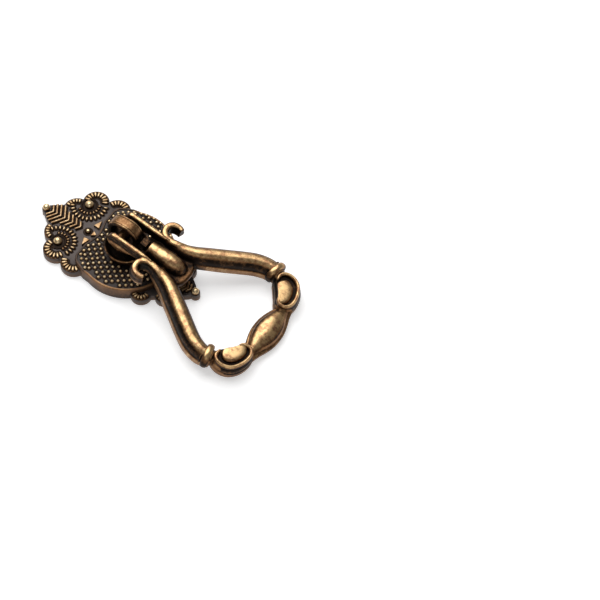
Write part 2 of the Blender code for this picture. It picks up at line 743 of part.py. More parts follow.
def make_pad(parent):
    levels = ((1.0, -0.3), (0.9, 0.5), (0.55, 1.0), (0.25, 0.8), (0.07, 0.3), (0, -0.26))
    bm = bmesh.new()
    rings = []
    for depth, grow in levels:
        height = bail_height(depth * PAD_DEPTH)
        rings.append([Vector((x, y, height)) for x, y in pad_outline(grow * PAD_ROUND)])
    add_loft(bm, rings)
    return object_from_bmesh("pad", bm, parent, tool=True, both_sides=True)


def make_pad_groove(parent):
    """C-shaped groove that leaves a rim outside and a smooth field inside."""
    run = pad_outline(-PAD_RIM_WIDTH)[1:-8]
    tapered = []
    for i, (x, y) in enumerate(run):
        fade = min(1.0, 0.35 + 0.25 * min(i, len(run) - 1 - i))
        tapered.append((x, y, fade * PAD_GROOVE_WIDTH / 2))
    bm = bmesh.new()
    add_sweep(bm, tapered, bail_height(0), 8, depth=2 * PAD_GROOVE_DEPTH)
    return object_from_bmesh("pad_groove", bm, parent, tool=True, both_sides=True)


def make_grip(parent):
    """Barrel grip with a neck at each end that runs into the pads."""
    swell = ((0.6, 0.86), (0.3, 0.97))
    half = [(0, GRIP_HALF_LENGTH + GRIP_END), (0.83 * GRIP_NECK_RADIUS, GRIP_HALF_LENGTH + 0.9 * GRIP_END)]
    half += [(GRIP_NECK_RADIUS, GRIP_HALF_LENGTH + 0.4 * GRIP_END), (GRIP_NECK_RADIUS, GRIP_HALF_LENGTH)]
    half.append((1.04 * GRIP_NECK_RADIUS, 0.86 * GRIP_HALF_LENGTH))
    half += [(share * GRIP_RADIUS, reach * GRIP_HALF_LENGTH) for reach, share in swell]
    profile = half + [(GRIP_RADIUS, 0)] + [(radius, -reach) for radius, reach in reversed(half)]
    place = Matrix.Translation((0, -GRIP_REACH, bail_height(BAIL_DEPTH / 2)))
    turn = Matrix.Rotation(math.radians(90), 4, "Y")
    squash = Matrix.Diagonal((BAIL_DEPTH / (2 * GRIP_RADIUS), 1, 1, 1))
    bm = bmesh.new()
    add_turned(bm, profile, 24, place @ turn @ squash)
    return object_from_bmesh("grip", bm, parent, tool=True)


def make_pin_hole(parent):
    """Hole through both ears for the pin."""
    bm = bmesh.new()
    half = EAR_INNER + 2 * EAR_THICKNESS
    radius = PIN_RADIUS + PIN_CLEARANCE
    add_turned(bm, [(radius, -half), (radius, half)], 24, Matrix.Rotation(math.radians(90), 4, "Y"))
    return object_from_bmesh("pin_hole", bm, parent, tool=True)


def make_bail(material):
    pivot = bpy.data.objects.new("bail_pivot", None)
    bpy.context.scene.collection.objects.link(pivot)
    pivot.location = (0, 0, PIVOT_HEIGHT)
    pivot.rotation_euler = (bail_tilt(), 0, 0)
    bail = make_web(pivot)
    bail.data.materials.append(material)
    for make in (make_boss, make_arm, make_collar, make_ear, make_scroll, make_pad, make_grip):
        combine(bail, make(pivot), "UNION")
    for make in (make_pad_groove, make_pin_hole):
        combine(bail, make(pivot), "DIFFERENCE")
    return bail


def shade(item, angle):
    item.data.shade_smooth()
    item.data.set_sharp_from_angle(angle=math.radians(angle))


def main():
    clear_scene()
    plate_brass = metal_material("aged_brass_plate", (0.23, 0.16, 0.09), 0.45)
    post_brass = metal_material("aged_brass_post", (0.42, 0.28, 0.15), 0.38)
    bail_brass = metal_material("aged_brass_bail", (0.50, 0.34, 0.18), 0.35)
    pin_steel = metal_material("pin_steel", (0.30, 0.24, 0.18), 0.4)
    shade(make_backplate(plate_brass), 30)
    shade(make_post(post_brass), 35)
    shade(make_pin(pin_steel), 35)
    shade(make_bail(bail_brass), 35)


main()
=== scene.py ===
"""Antique brass drop handle: cast backplate, arched post, pivot pin and swinging bail.

Laid out as a Blender add-on and run as a script. Sizes are metres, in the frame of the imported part.
"""

import math

import bmesh
import bpy
from mathutils import Matrix, Vector
from mathutils.bvhtree import BVHTree


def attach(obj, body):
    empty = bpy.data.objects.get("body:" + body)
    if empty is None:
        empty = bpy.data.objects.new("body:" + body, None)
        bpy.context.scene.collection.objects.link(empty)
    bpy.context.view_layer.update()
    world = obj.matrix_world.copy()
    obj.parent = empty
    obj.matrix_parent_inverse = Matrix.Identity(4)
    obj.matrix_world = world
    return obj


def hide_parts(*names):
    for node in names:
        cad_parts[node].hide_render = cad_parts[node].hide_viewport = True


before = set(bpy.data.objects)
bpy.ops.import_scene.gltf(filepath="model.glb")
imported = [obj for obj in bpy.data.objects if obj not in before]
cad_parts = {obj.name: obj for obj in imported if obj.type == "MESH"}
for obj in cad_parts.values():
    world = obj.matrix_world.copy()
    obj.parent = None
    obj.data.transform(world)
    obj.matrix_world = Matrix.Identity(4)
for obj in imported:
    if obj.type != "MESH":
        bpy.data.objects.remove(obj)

bl_info = {
    "name": "Antique Drop Handle",
    "version": (1, 0, 0),
    "blender": (4, 5, 0),
    "location": "View3D > Sidebar > Handle",
    "description": "Models and finishes a cast brass drop handle",
    "category": "Object",
}

MM = 0.001
# Body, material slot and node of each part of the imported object
PLATE = ("fixed", "aged_brass_plate", ("backplate",))
POST = ("fixed", "aged_brass_post", ("post",))
PIN = ("swing", "pin_steel", ("pivot_pin",))
BAIL = ("swing", "aged_brass_bail", ("bail",))

SPIGOT_CLEARANCE = 0.3 * MM
PIN_CLEARANCE = 0.15 * MM
# Rise of the thin dark mounds round the feet of the ornament
SKIRT_RISE = 0.09 * MM
BUMP_DEPTH = 0.06 * MM
# Below one, the power makes the petals' beads fuller than ellipsoids
BEAD_POWER = 0.72
# Angle, in degrees, above which an edge of the plate stays sharp
PLATE_SHARP = 35

FLOOR_HALF_SIZE = 3.0
FLOOR_DROP = 0.02 * MM
FLOOR_WHITE = 0.86
FLOOR_GLOW = 0.49
SURROUND = 0.12
# Area lamps: name, place, width, height, watts
LAMPS = (
    ("key", (0.20, 0.25, 0.60), 0.74, 0.74, 5.0),
    ("fill", (-0.45, -0.30, 0.35), 0.40, 0.25, 0.4),
)
LAMP_TARGET = Vector((0, -0.015, 0.005))
CAMERA_PLACE = (-0.37805, -0.31245, 0.70953)
CAMERA_FORWARD = Vector((0.46118, 0.30941, -0.83161))
SENSOR_WIDTH = 36.0
# Focal length and width of the picture, in pixels
FOCAL_PIXELS = 3035.1
PICTURE_PIXELS = 600.0

# Side lobes of the plate: centre across, centre along, radius, then the arc of their free edge in degrees
LOBES = (
    (4.6, 21.1, 3.9, 7.1, 98),
    (9.6, 17.9, 3.85, -54.6, 107.2),
    (10.5, 11.1, 3.9, -60, 70.0),
    (8.4, -10.7, 3.05, -98, 43),
    (5.3, -16.7, 2.9, -114, 46),
)
# Ball in the middle of each ringed lobe: across, along
EYE = (7.63, 18.83)
# Crest chevrons: apex along the plate, and how far each arm reaches across
CREST_CHEVRONS = (
    (26.0, 1.9), (24.74, 2.7), (23.38, 3.25), (21.95, 3.5),
    (20.57, 2.3), (19.2, 2.05), (17.85, 1.75), (16.42, 1.45),
)
TAIL_CHEVRONS = ((-18.9, 2.3), (-19.9, 2.1), (-20.9, 1.8), (-21.8, 1.4))


def size(name, description, millimetres):
    return bpy.props.FloatProperty(
        name=name, description=description, default=millimetres * MM, unit="LENGTH", subtype="DISTANCE",
        precision=5
    )


def colour(name, description, values):
    return bpy.props.FloatVectorProperty(
        name=name, description=description, default=values, size=3, min=0.0, max=1.0, subtype="COLOR"
    )


class PlateSettings(bpy.types.PropertyGroup):
    ground: size("Ground height", "Height of the plate's ornamented ground", 2.2)
    rim_rise: size("Rim rise", "How far the lobes' rims stand above the ground", 0.16)
    petal_rise: size("Petal rise", "How far the petals stand above the ground", 0.62)
    chevron_rise: size("Chevron rise", "How far the chevron ridges stand above the ground", 0.65)
    field_radius: size("Field radius", "Radius of the dotted body", 13.7)
    field_ground: size("Field height", "Height of the dotted body's ground", 3.9)
    field_rim: size("Field rim height", "Height of the thin rim round the dotted body", 4.14)
    dot_radius: size("Dot radius", "Radius of the raised dots", 0.56)
    dot_pitch: size("Dot pitch", "Distance between dots in one row", 2.04)
    row_pitch: size("Row pitch", "Distance between the rows of dots", 1.33)


class PostSettings(bpy.types.PropertyGroup):
    flange_radius: size("Flange radius", "Radius of the dished flange's lip", 6.4)
    flange_top: size("Flange height", "Height of the flange's lip", 7.3)
    spigot_radius: size("Spigot radius", "Radius of the spigot in the plate's hole", 3.6)
    eye_length: size("Eye length", "Length of the arched eye along the plate", 9.8)
    eye_width: size("Eye width", "Width of the arched eye across the plate", 3.6)
    eye_wall: size("Eye wall", "Thickness of the eye's band", 1.3)
    eye_rise: size("Eye rise", "Height of the arch above the pin's axis", 4.7)
    pivot_height: size("Pivot height", "Height of the pin's axis above the back face", 13.2)
    pin_radius: size("Pin radius", "Radius of the pivot pin", 1.3)


class BailSettings(bpy.types.PropertyGroup):
    ear_radius: size("Ear radius", "Radius of the ears round the pin", 3.0)
    depth: size("Bail depth", "Depth of the bail's castings below its top plane", 5.4)
    grip_reach: size("Grip reach", "Distance of the grip's axis from the pin", 49.0)
    grip_radius: size("Grip radius", "Half width of the barrel grip", 4.3)
    rest_gap: size("Rest gap", "Gap under the grip where the bail hangs at rest", 0.15)
    voxel: size("Blend size", "Grain of the mesh that blends the bail's forms into one casting", 0.2)


class FinishSettings(bpy.types.PropertyGroup):
    copper: colour("Copper tint", "Colour of the coppery patches on the rubbed metal", (0.40, 0.195, 0.10))
    bright: colour("Rubbed brass", "Colour of the rubbed high spots", (0.78, 0.52, 0.25))
    middle: colour("Mid bronze", "Colour of the plain surfaces", (0.22, 0.108, 0.046))
    # The patina colour also gives the painted shade wherever the wear rules paint it
    dark: colour("Patina", "Colour of the dark patina in the hollows", (0.016, 0.010, 0.007))
    ground: colour("Ground patina", "Colour of the plate's dull ground", (0.070, 0.057, 0.052))


class HandleSettings(bpy.types.PropertyGroup):
    plate: bpy.props.PointerProperty(name="Plate", description="Sizes of the backplate", type=PlateSettings)
    post: bpy.props.PointerProperty(name="Post", description="Sizes of the post and pin", type=PostSettings)
    bail: bpy.props.PointerProperty(name="Bail", description="Sizes of the bail", type=BailSettings)
    finish: bpy.props.PointerProperty(name="Finish", description="Colours of the brass", type=FinishSettings)


def settings():
    return bpy.context.scene.drop_handle


# Mesh helpers

def islands(bm):
    """The faces of each separate shell."""
    seen = set()
    for first in bm.faces:
        if first in seen:
            continue
        shell, stack = [], [first]
        seen.add(first)
        while stack:
            face = stack.pop()
            shell.append(face)
            for edge in face.edges:
                for other in edge.link_faces:
                    if other not in seen:
                        seen.add(other)
                        stack.append(other)
        yield shell


def turn_outward(bm):
    """Points the faces of every closed shell outwards."""
    bmesh.ops.recalc_face_normals(bm, faces=bm.faces)
    bm.normal_update()
    for shell in list(islands(bm)):
        volume = sum(face.calc_center_median().dot(face.normal) * face.calc_area() for face in shell)
        centre = shell[0].calc_center_median()
        volume -= sum(centre.dot(face.normal) * face.calc_area() for face in shell)
        if volume < 0:
            bmesh.ops.reverse_faces(bm, faces=shell)


def add_twin(bm):
    """Adds the left-hand twin of everything in the mesh."""
    made = bmesh.ops.duplicate(bm, geom=bm.verts[:] + bm.edges[:] + bm.faces[:])["geom"]
    points = [item for item in made if isinstance(item, bmesh.types.BMVert)]
    bmesh.ops.scale(bm, vec=(-1, 1, 1), verts=points)


def sweep(bm, stations, sides=12, section=None):
    """Extrudes a ring from station to station; each station is the matrix that places the unit ring."""
    sides = len(section) if section else sides
    ring = bmesh.ops.create_circle(bm, cap_ends=True, radius=1, segments=sides, matrix=stations[0])["verts"]
    if section:
        for vertex, (across, up) in zip(ring, section):
            vertex.co = stations[0] @ Vector((across, up, 0))
    members = set(ring)
    edges = [edge for edge in ring[0].link_faces[0].edges if set(edge.verts) <= members]
    for before, after in zip(stations, stations[1:]):
        grown = bmesh.ops.extrude_edge_only(bm, edges=edges)["geom"]
        ring = [item for item in grown if isinstance(item, bmesh.types.BMVert)]
        members = set(ring)
        edges = [item for item in grown if isinstance(item, bmesh.types.BMEdge)]
        edges = [edge for edge in edges if set(edge.verts) <= members]
        bmesh.ops.transform(bm, matrix=after @ before.inverted(), verts=ring)
    bmesh.ops.contextual_create(bm, geom=edges)


def closed_edges(bm, points):
    return [bm.edges.new(pair) for pair in zip(points, points[1:] + points[:1])]


def skin(bm, rings):
    """Joins each ring of vertices to the next."""
    for lower, upper in zip(rings, rings[1:]):
        for i in range(len(lower)):
            j = (i + 1) % len(lower)
            bm.faces.new((lower[i], lower[j], upper[j], upper[i]))


def station(point, along, half_width, half_depth):
    """Ring across a run that lies flat: its width is level and its depth upright."""
    across = Vector((along[1], -along[0], 0)).normalized()
    forward = Vector((along[0], along[1], 0)).normalized()
    up = Vector((0, 0, 1))
    facing = Matrix((across, up, forward)).transposed().to_4x4()
    return Matrix.Translation(point) @ facing @ Matrix.Diagonal((half_width, half_depth, 1, 1))


def flat_run(knots, per_span):
    """Smooth curve through knots of any length, by the Catmull-Rom rule."""
    padded = [knots[0], *knots, knots[-1]]
    run = []
    for p, q, r, s in zip(padded, padded[1:], padded[2:], padded[3:]):
        for i in range(per_span):
            t = i / per_span
            run.append(tuple(
                0.5 * (2 * b + (c - a) * t
                       + (2 * a - 5 * b + 4 * c - d) * t * t + (3 * b - a - 3 * c + d) * t ** 3)
                for a, b, c, d in zip(p, q, r, s)
            ))
    run.append(tuple(knots[-1]))
    return run


def sweep_flat(bm, run, sides=12, section=None):
    """Sweeps an oval, or a section, along a run of (x, y, z, half width, half depth)."""
    stations = []
    for i, (x, y, z, half_width, half_depth) in enumerate(run):
        back, ahead = run[max(i - 1, 0)], run[min(i + 1, len(run) - 1)]
        along = (ahead[0] - back[0], ahead[1] - back[1])
        stations.append(station((x, y, z), along, half_width, half_depth))
    sweep(bm, stations, sides, section)


def turned(bm, profile, steps, place=None):
    """Spins a profile of (radius, height) points about Z."""
    points = [bm.verts.new((radius, 0, height)) for radius, height in profile]
    edges = [bm.edges.new(pair) for pair in zip(points, points[1:])]
    bmesh.ops.spin(
        bm, geom=points + edges, axis=(0, 0, 1), cent=(0, 0, 0), angle=math.tau, steps=steps, use_merge=True
    )
    members = grown_from(points)
    bmesh.ops.remove_doubles(bm, verts=members, dist=0.002 * MM)
    if place is not None:
        bmesh.ops.transform(bm, matrix=place, verts=[vertex for vertex in members if vertex.is_valid])


def grown_from(points):
    """Every vertex joined to these by edges."""
    seen = set(points)
    stack = list(points)
    while stack:
        for edge in stack.pop().link_edges:
            for vertex in edge.verts:
                if vertex not in seen:
                    seen.add(vertex)
                    stack.append(vertex)
    return list(seen)


def slab(bm, outline, bottom, top):
    """Raises a closed outline of (x, y) points into a solid and returns its top face."""
    ring = [bm.verts.new((x, y, bottom)) for x, y in outline]
    base = bm.faces.new(ring)
    grown = bmesh.ops.extrude_face_region(bm, geom=[base], use_keep_orig=True)["geom"]
    raised = [item for item in grown if isinstance(item, bmesh.types.BMVert)]
    bmesh.ops.translate(bm, verts=raised, vec=(0, 0, top - bottom))
    return next(item for item in grown if isinstance(item, bmesh.types.BMFace))


def in_mm(points):
    """Pairs given in mm, as metres."""
    return [(a * MM, b * MM) for a, b in points]


def at(x, y, z):
    """Place of a point: x and y in mm, z in metres."""
    return Matrix.Translation((x * MM, y * MM, z))


def turn(degrees, axis):
    return Matrix.Rotation(math.radians(degrees), 4, axis)


def share_of(value, low, high):
    """How far a value lies from low to high, from 0 to 1."""
    return max(0.0, min(1.0, (value - low) / (high - low)))


def arc(across, along, radius, start, end, steps):
    """Points on a circle round a centre, between two angles in degrees."""
    points = []
    for i in range(steps + 1):
        angle = math.radians(start + (end - start) * i / steps)
        points.append((across + radius * math.cos(angle), along + radius * math.sin(angle)))
    return points


def both_sides(half):
    """Closes a right-hand run from head to tail with its mirror image."""
    return list(half) + [(-x, y) for x, y in reversed(half) if x > 0.000001]


def bead(bm, place, length, width, rise, taper=0.0):
    """Low rounded ridge, length along its own X; a taper makes its far end broader."""
    points = bmesh.ops.create_uvsphere(bm, u_segments=12, v_segments=7, radius=1)["verts"]
    for vertex in points:
        x, y, z = (math.copysign(abs(value) ** BEAD_POWER, value) for value in vertex.co)
        vertex.co = (x, y * (1 + taper * x), z)
    shape = Matrix.Diagonal((length / 2, width / 2, rise, 1))
    bmesh.ops.transform(bm, matrix=place @ shape, verts=points)


def mound(bm, place, length, width, rise, around, up):
    shape = Matrix.Diagonal((length / 2, width / 2, rise, 1))
    bmesh.ops.create_uvsphere(bm, u_segments=around, v_segments=up, radius=1, matrix=place @ shape)


def skirt(bm, place, length, width):
    """Thin low mound round the foot of an ornament, where patina and painted shade are darkest."""
    mound(bm, place, length, width, SKIRT_RISE, 14, 6)


def ball(bm, centre, radius):
    place = Matrix.Translation(centre)
    bmesh.ops.create_uvsphere(bm, u_segments=24, v_segments=12, radius=radius, matrix=place)


def round_edges(bm, edges, offset, segments=3, clamp=True):
    bmesh.ops.bevel(
        bm, geom=edges, offset=offset, segments=segments, profile=0.5, affect="EDGES", material=-1,
        clamp_overlap=clamp
    )


def cylinder(radius, length, segments, place=Matrix.Identity(4)):
    """Solid cylinder to cut with."""
    bm = bmesh.new()
    bmesh.ops.create_cone(
        bm, cap_ends=True, segments=segments, radius1=radius, radius2=radius, depth=length, matrix=place
    )
    return bm


def linked(name, data):
    """New object in the scene."""
    item = bpy.data.objects.new(name, data)
    bpy.context.scene.collection.objects.link(item)
    return item


def new_mesh(name, bm):
    """Mesh of a bmesh, which it frees."""
    mesh = bpy.data.meshes.new(name)
    bm.to_mesh(mesh)
    bm.free()
    return mesh


# Pieces and their wear and painted light

def store_wear_and_light(mesh, values):
    """Stores how rubbed each point is, from 0 in a hollow to 1 on a high spot, with painted light and shade
    added in places.
    """
    layer = mesh.attributes.new("wear_and_light", "FLOAT", "POINT")
    layer.data.foreach_set("value", [max(0.0, min(1.0, value)) for value in values])


def finish_piece(name, mesh, part, material):
    """Adds a mesh to the scene as one of the visible pieces of a part."""
    body, slot, replaced = part
    piece = linked(name, mesh)
    mesh.materials.append(finish_material(material))
    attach(piece, body)
    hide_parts(*replaced)


def add_piece(name, bm, part, material, rule, sharp, cutter=None, place=None):
    """Adds a bmesh as a piece: less its cutter, with its wear and painted light set by a rule, and then put in
    place.
    """
    turn_outward(bm)
    mesh = new_mesh(name, bm)
    if cutter is not None:
        mesh = cut(mesh, cutter)
    mesh.shade_smooth()
    mesh.set_sharp_from_angle(angle=math.radians(sharp))
    store_wear_and_light(mesh, [rule(vertex) for vertex in mesh.vertices])
    if place is not None:
        mesh.transform(place)
    finish_piece(name, mesh, part, material)


def add_ornament(name, bm, rule, sharp):
    add_piece(name, bm, PLATE, "ornament brass", rule, sharp)


def add_trim(name, bm, rule):
    """Adds a piece that was drawn in the bail's own frame."""
    add_piece(name, bm, BAIL, "bail brass", rule, 60, place=bail_frame())


def by_height(low, high, least, most):
    """Wear that grows from one height to another."""
    def rule(vertex):
        return least + (most - least) * share_of(vertex.co.z, low, high)
    return rule


def applied_mesh(piece):
    """The mesh that the piece's modifiers give."""
    graph = bpy.context.evaluated_depsgraph_get()
    return bpy.data.meshes.new_from_object(piece.evaluated_get(graph))


def cut(mesh, tool_bm):
    """The mesh less the tool's solid."""
    turn_outward(tool_bm)
    tool = linked("cutter", new_mesh("cutter", tool_bm))
    piece = linked("blank", mesh)
    modifier = piece.modifiers.new("cut", "BOOLEAN")
    modifier.operation = "DIFFERENCE"
    modifier.solver = "EXACT"
    modifier.object = tool
    bpy.context.view_layer.update()
    result = applied_mesh(piece)
    for item in (tool, piece):
        bpy.data.objects.remove(item)
    return result


# Materials

def fill(tree, node, inputs):
    """Sets a node's inputs, or links them where the value is another node's output."""
    for key, value in inputs.items():
        if isinstance(value, bpy.types.NodeSocket):
            tree.links.new(value, node.inputs[key])
        else:
            node.inputs[key].default_value = value


def add_node(tree, kind, inputs=None, **values):
    node = tree.nodes.new(kind)
    for name, value in values.items():
        setattr(node, name, value)
    fill(tree, node, inputs or {})
    return node


def aged_brass_group():
    """Shared finish: dark patina, mid bronze and rubbed brass, mixed by the stored wear and painted light and
    broken up by mottling; the dark patina colour also gives the painted shade.
    """
    group = bpy.data.node_groups.new("Aged brass", "ShaderNodeTree")
    face = group.interface
    for name, kind, default in (
        ("Wear and light", "NodeSocketFloat", 0.5),
        ("Bright", "NodeSocketColor", (0.9, 0.7, 0.4, 1)),
        ("Copper", "NodeSocketColor", (0.5, 0.3, 0.15, 1)),
        ("Middle", "NodeSocketColor", (0.4, 0.25, 0.12, 1)),
        ("Dark", "NodeSocketColor", (0.02, 0.015, 0.01, 1)),
        ("Mottle", "NodeSocketFloat", 0.3),
    ):
        socket = face.new_socket(name=name, in_out="INPUT", socket_type=kind)
        socket.default_value = default
    for name, kind in (
        ("Color", "NodeSocketColor"), ("Roughness", "NodeSocketFloat"), ("Height", "NodeSocketFloat")
    ):
        face.new_socket(name=name, in_out="OUTPUT", socket_type=kind)
    source = add_node(group, "NodeGroupInput").outputs
    coordinates = add_node(group, "ShaderNodeTexCoord").outputs["Object"]

    def noise(scale, detail, roughness):
        inputs = {"Scale": scale, "Detail": detail, "Roughness": roughness, "Vector": coordinates}
        return add_node(group, "ShaderNodeTexNoise", inputs).outputs["Fac"]

    def arithmetic(operation, a, b, clamp=False):
        node = add_node(group, "ShaderNodeMath", {0: a, 1: b}, operation=operation, use_clamp=clamp)
        return node.outputs[0]

    def ramp(value, low, high):
        inputs = {"Value": value, "From Min": low, "From Max": high}
        node = add_node(group, "ShaderNodeMapRange", inputs, interpolation_type="SMOOTHSTEP")
        return node.outputs["Result"]

    def blend(factor, a, b):
        inputs = {"Factor": factor, "A": a, "B": b}
        return add_node(group, "ShaderNodeMix", inputs, data_type="RGBA").outputs["Result"]

    fine = noise(1700, 5, 0.66)
    broad = noise(420, 3, 0.5)
    patches = noise(620, 5, 0.68)
    pits = noise(5200, 3, 0.6)
    spread = arithmetic("ADD", arithmetic("SUBTRACT", fine, 0.5), arithmetic("SUBTRACT", broad, 0.5))
    spread = arithmetic("MULTIPLY", spread, source["Mottle"])
    rub_and_light = arithmetic("ADD", source["Wear and light"], arithmetic("MULTIPLY", spread, 2.0), clamp=True)

    coppery = arithmetic("MULTIPLY", ramp(patches, 0.44, 0.62), 0.9)
    rubbed = blend(coppery, source["Bright"], source["Copper"])
    plain = blend(ramp(rub_and_light, 0.04, 0.46), source["Dark"], source["Middle"])
    # Rubbed metal is smoother than patina
    rough = add_node(group, "ShaderNodeMapRange", {"Value": rub_and_light, "To Min": 0.48, "To Max": 0.31})
    add_node(group, "NodeGroupOutput", {
        "Color": blend(ramp(rub_and_light, 0.40, 0.92), plain, rubbed),
        "Roughness": rough.outputs["Result"],
        "Height": arithmetic("ADD", arithmetic("MULTIPLY", pits, 0.5), fine),
    })
    return group


def brass(name, group, colours, mottle, bump, metallic):
    """Material whose finish follows the wear and painted light stored on the mesh."""
    material = bpy.data.materials.new(name)
    material.use_nodes = True
    tree = material.node_tree
    wear_and_light = add_node(tree, "ShaderNodeAttribute", attribute_name="wear_and_light")
    inputs = {"Wear and light": wear_and_light.outputs["Fac"], "Mottle": mottle}
    for socket, value in zip(("Bright", "Copper", "Middle", "Dark"), colours):
        inputs[socket] = (*value, 1)
    finish = add_node(tree, "ShaderNodeGroup", node_tree=group)
    fill(tree, finish, inputs)
    relief = add_node(tree, "ShaderNodeBump", {
        "Strength": bump, "Distance": BUMP_DEPTH, "Height": finish.outputs["Height"]
    })
    fill(tree, tree.nodes["Principled BSDF"], {
        "Base Color": finish.outputs["Color"],
        "Roughness": finish.outputs["Roughness"],
        "Normal": relief.outputs["Normal"],
        "Metallic": metallic,
    })
    return material


def finish_material(name):
    """One of the handle's brasses, built the first time it is asked for."""
    known = bpy.data.materials.get(name)
    if known:
        return known
    group = bpy.data.node_groups.get("Aged brass") or aged_brass_group()
    finish = settings().finish
    rubbed = (tuple(finish.bright), tuple(finish.copper), tuple(finish.middle))
    dark, ground = tuple(finish.dark), tuple(finish.ground)
    recipes = {
        "plate brass": ((*rubbed, ground), 0.14, 0.35, 0.7),
        # The dotted body's ground is half as light as the plate's: patina and painted shade between the dots
        "field brass": ((*rubbed, tuple(0.5 * value for value in ground)), 0.14, 0.35, 0.7),
        # The ornaments' rubbed brass is paler and lighter: partly a painted highlight on their raised tops
        "ornament brass": (((0.98, 0.76, 0.45), *rubbed[:1], rubbed[2], dark), 0.18, 0.3, 0.92),
        "post brass": ((*rubbed, dark), 0.32, 0.3, 0.92),
        "bail brass": ((*rubbed, dark), 0.32, 0.3, 0.92),
    }
    return brass(name, group, *recipes[name])


# Backplate

def plate_outline():
    """Lobed edge of the plate, from the crest's tip to the tail's."""
    half = arc(0, 28.45, 1.3, 90, 0, 8)
    half += [(1.75, 27.9), (2.75, 26.6), (3.5, 25.4)]
    for across, along, radius, low, high in LOBES[:3]:
        half += arc(across, along, radius, high, low, 16)
    half += [(11.2, 4.0), (11.4, -3.0)]
    for across, along, radius, low, high in LOBES[3:]:
        half += arc(across, along, radius, high, low, 14)
    half += [(3.0, -21.0), (2.0, -22.3)]
    half += arc(0, -23.4, 1.4, 20, -90, 8)
    half[0] = (0, half[0][1])
    half[-1] = (0, half[-1][1])
    return in_mm(both_sides(half))


def field_outline():
    """Dotted body: a disc with shoulders under the head."""
    radius = settings().plate.field_radius / MM
    half = [(0, 10.1), (2.4, 10.6), (4.6, 11.3), (9.2, 11.3), (10.6, 10.6), (11.4, 9.6), (12.7, 6.6)]
    half += arc(0, 0, radius, 18, -90, 30)
    half[-1] = (0, -radius)
    return in_mm(both_sides(half))


def spigot_cutter():
    return cylinder(settings().post.spigot_radius + SPIGOT_CLEARANCE, 20 * MM, 64)


class HANDLE_OT_backplate(bpy.types.Operator):
    """Casts the plate's web and its raised dotted body"""

    bl_idname = "handle.backplate"
    bl_label = "Backplate"

    def execute(self, context):
        plate = settings().plate
        bm = bmesh.new()
        slab(bm, plate_outline(), 0, plate.ground)
        round_edges(bm, [edge for edge in bm.edges if edge.calc_face_angle(0) > 1.2], 0.35 * MM)
        rule = by_height(plate.ground - 0.2 * MM, plate.ground - 0.02 * MM, 0.3, 0.05)
        add_piece("plate_web", bm, PLATE, "plate brass", rule, PLATE_SHARP, spigot_cutter())

        bm = bmesh.new()
        top = slab(bm, field_outline(), 0, plate.field_rim)
        round_edges(bm, list(top.edges), 0.3 * MM)
        bm.normal_update()
        level_faces = [face for face in bm.faces if abs(face.normal.z) > 0.99]
        top = max(level_faces, key=lambda face: face.calc_center_median().z)
        for width in (0.22, 0.18):
            bmesh.ops.inset_region(bm, faces=[top], thickness=width * MM, use_even_offset=True)
        bmesh.ops.translate(bm, verts=top.verts, vec=(0, 0, plate.field_ground - plate.field_rim))
        ground, lip = plate.field_ground, plate.field_rim

        def rule(vertex):
            # The ground between the dots is painted darkest: patina and painted shade
            if abs(vertex.co.z - ground) < 0.04 * MM and vertex.normal.z > 0.5:
                return 0.03
            if vertex.co.z > lip - 0.2 * MM:
                return 0.50 if vertex.co.y < 5 * MM else 0.16
            return 0.30 if vertex.co.z > 1.5 * MM else 0.16
        add_piece("plate_field", bm, PLATE, "field brass", rule, PLATE_SHARP, spigot_cutter())
        return {"FINISHED"}


def petal_place(across, along, radius, degrees, ground):
    """Place on a circle round a lobe's middle, turned to point away from it."""
    angle = math.radians(degrees)
    place = at(across + radius * math.cos(angle), along + radius * math.sin(angle), ground)
    return place @ Matrix.Rotation(angle, 4, "Z")


class HANDLE_OT_lobes(bpy.types.Operator):
    """Raises the lobes' rims and their radial petals"""

    bl_idname = "handle.lobes"
    bl_label = "Lobes"

    def execute(self, context):
        plate = settings().plate
        ground = plate.ground
        bm = bmesh.new()
        for across, along, radius, low, high in LOBES:
            steps = 20
            run = []
            for i, (x, y) in enumerate(arc(across, along, radius - 0.3, low + 2, high - 2, steps)):
                fade = min(1.0, 0.45 + 0.2 * min(i, steps - i))
                depth = (plate.rim_rise + 0.12 * MM) * fade
                run.append((x * MM, y * MM, ground - 0.12 * MM, 0.3 * MM * fade, depth))
            sweep_flat(bm, run, 10)
        add_twin(bm)
        rule = by_height(ground - 0.1 * MM, ground + plate.rim_rise, 0.1, 0.24)
        add_ornament("lobe_rims", bm, rule, 60)

        bm = bmesh.new()
        rise = plate.petal_rise
        # Fans of long petals: lobe, radius, first and last angle, count
        fans = ((0, 2.8, 18, 90, 5), (1, 2.6, -64, 102, 9), (2, 2.65, -50, 66, 7), (3, 1.95, -86, 32, 6),
                (4, 1.85, -102, 36, 6))
        for lobe, reach, first, last, count in fans:
            across, along = LOBES[lobe][:2]
            for i in range(count):
                degrees = first + (last - first) * i / (count - 1)
                place = petal_place(across, along, reach, degrees, ground)
                length = 1.6 if lobe == 0 else 2.2 if lobe < 3 else 1.8
                bead(bm, place, length * MM, 0.84 * MM, rise, 0.3)
                place = petal_place(across, along, reach - 0.3, degrees, ground)
                skirt(bm, place, (length + 0.4) * MM, 1.4 * MM)
        # Two rows round each ball: count, reach, first angle, step, length, width, rise, then skirt sizes
        for count, reach, first, step, length, width, share, skirt_length, skirt_width in (
            (13, 4.8, 124, 13.9, 1.6, 0.74, 1.0, 2.3, 1.4),
            (9, 2.95, 150, 18, 1.1, 0.62, 0.85, 1.9, 1.3),
        ):
            for i in range(count):
                place = petal_place(*EYE, reach, first + step * i, ground)
                bead(bm, place, length * MM, width * MM, share * rise)
                skirt(bm, place, skirt_length * MM, skirt_width * MM)
        add_twin(bm)
        rule = by_height(ground + 0.45 * rise, ground + 0.9 * rise, 0.0, 0.66)
        add_ornament("petals", bm, rule, 80)
        return {"FINISHED"}


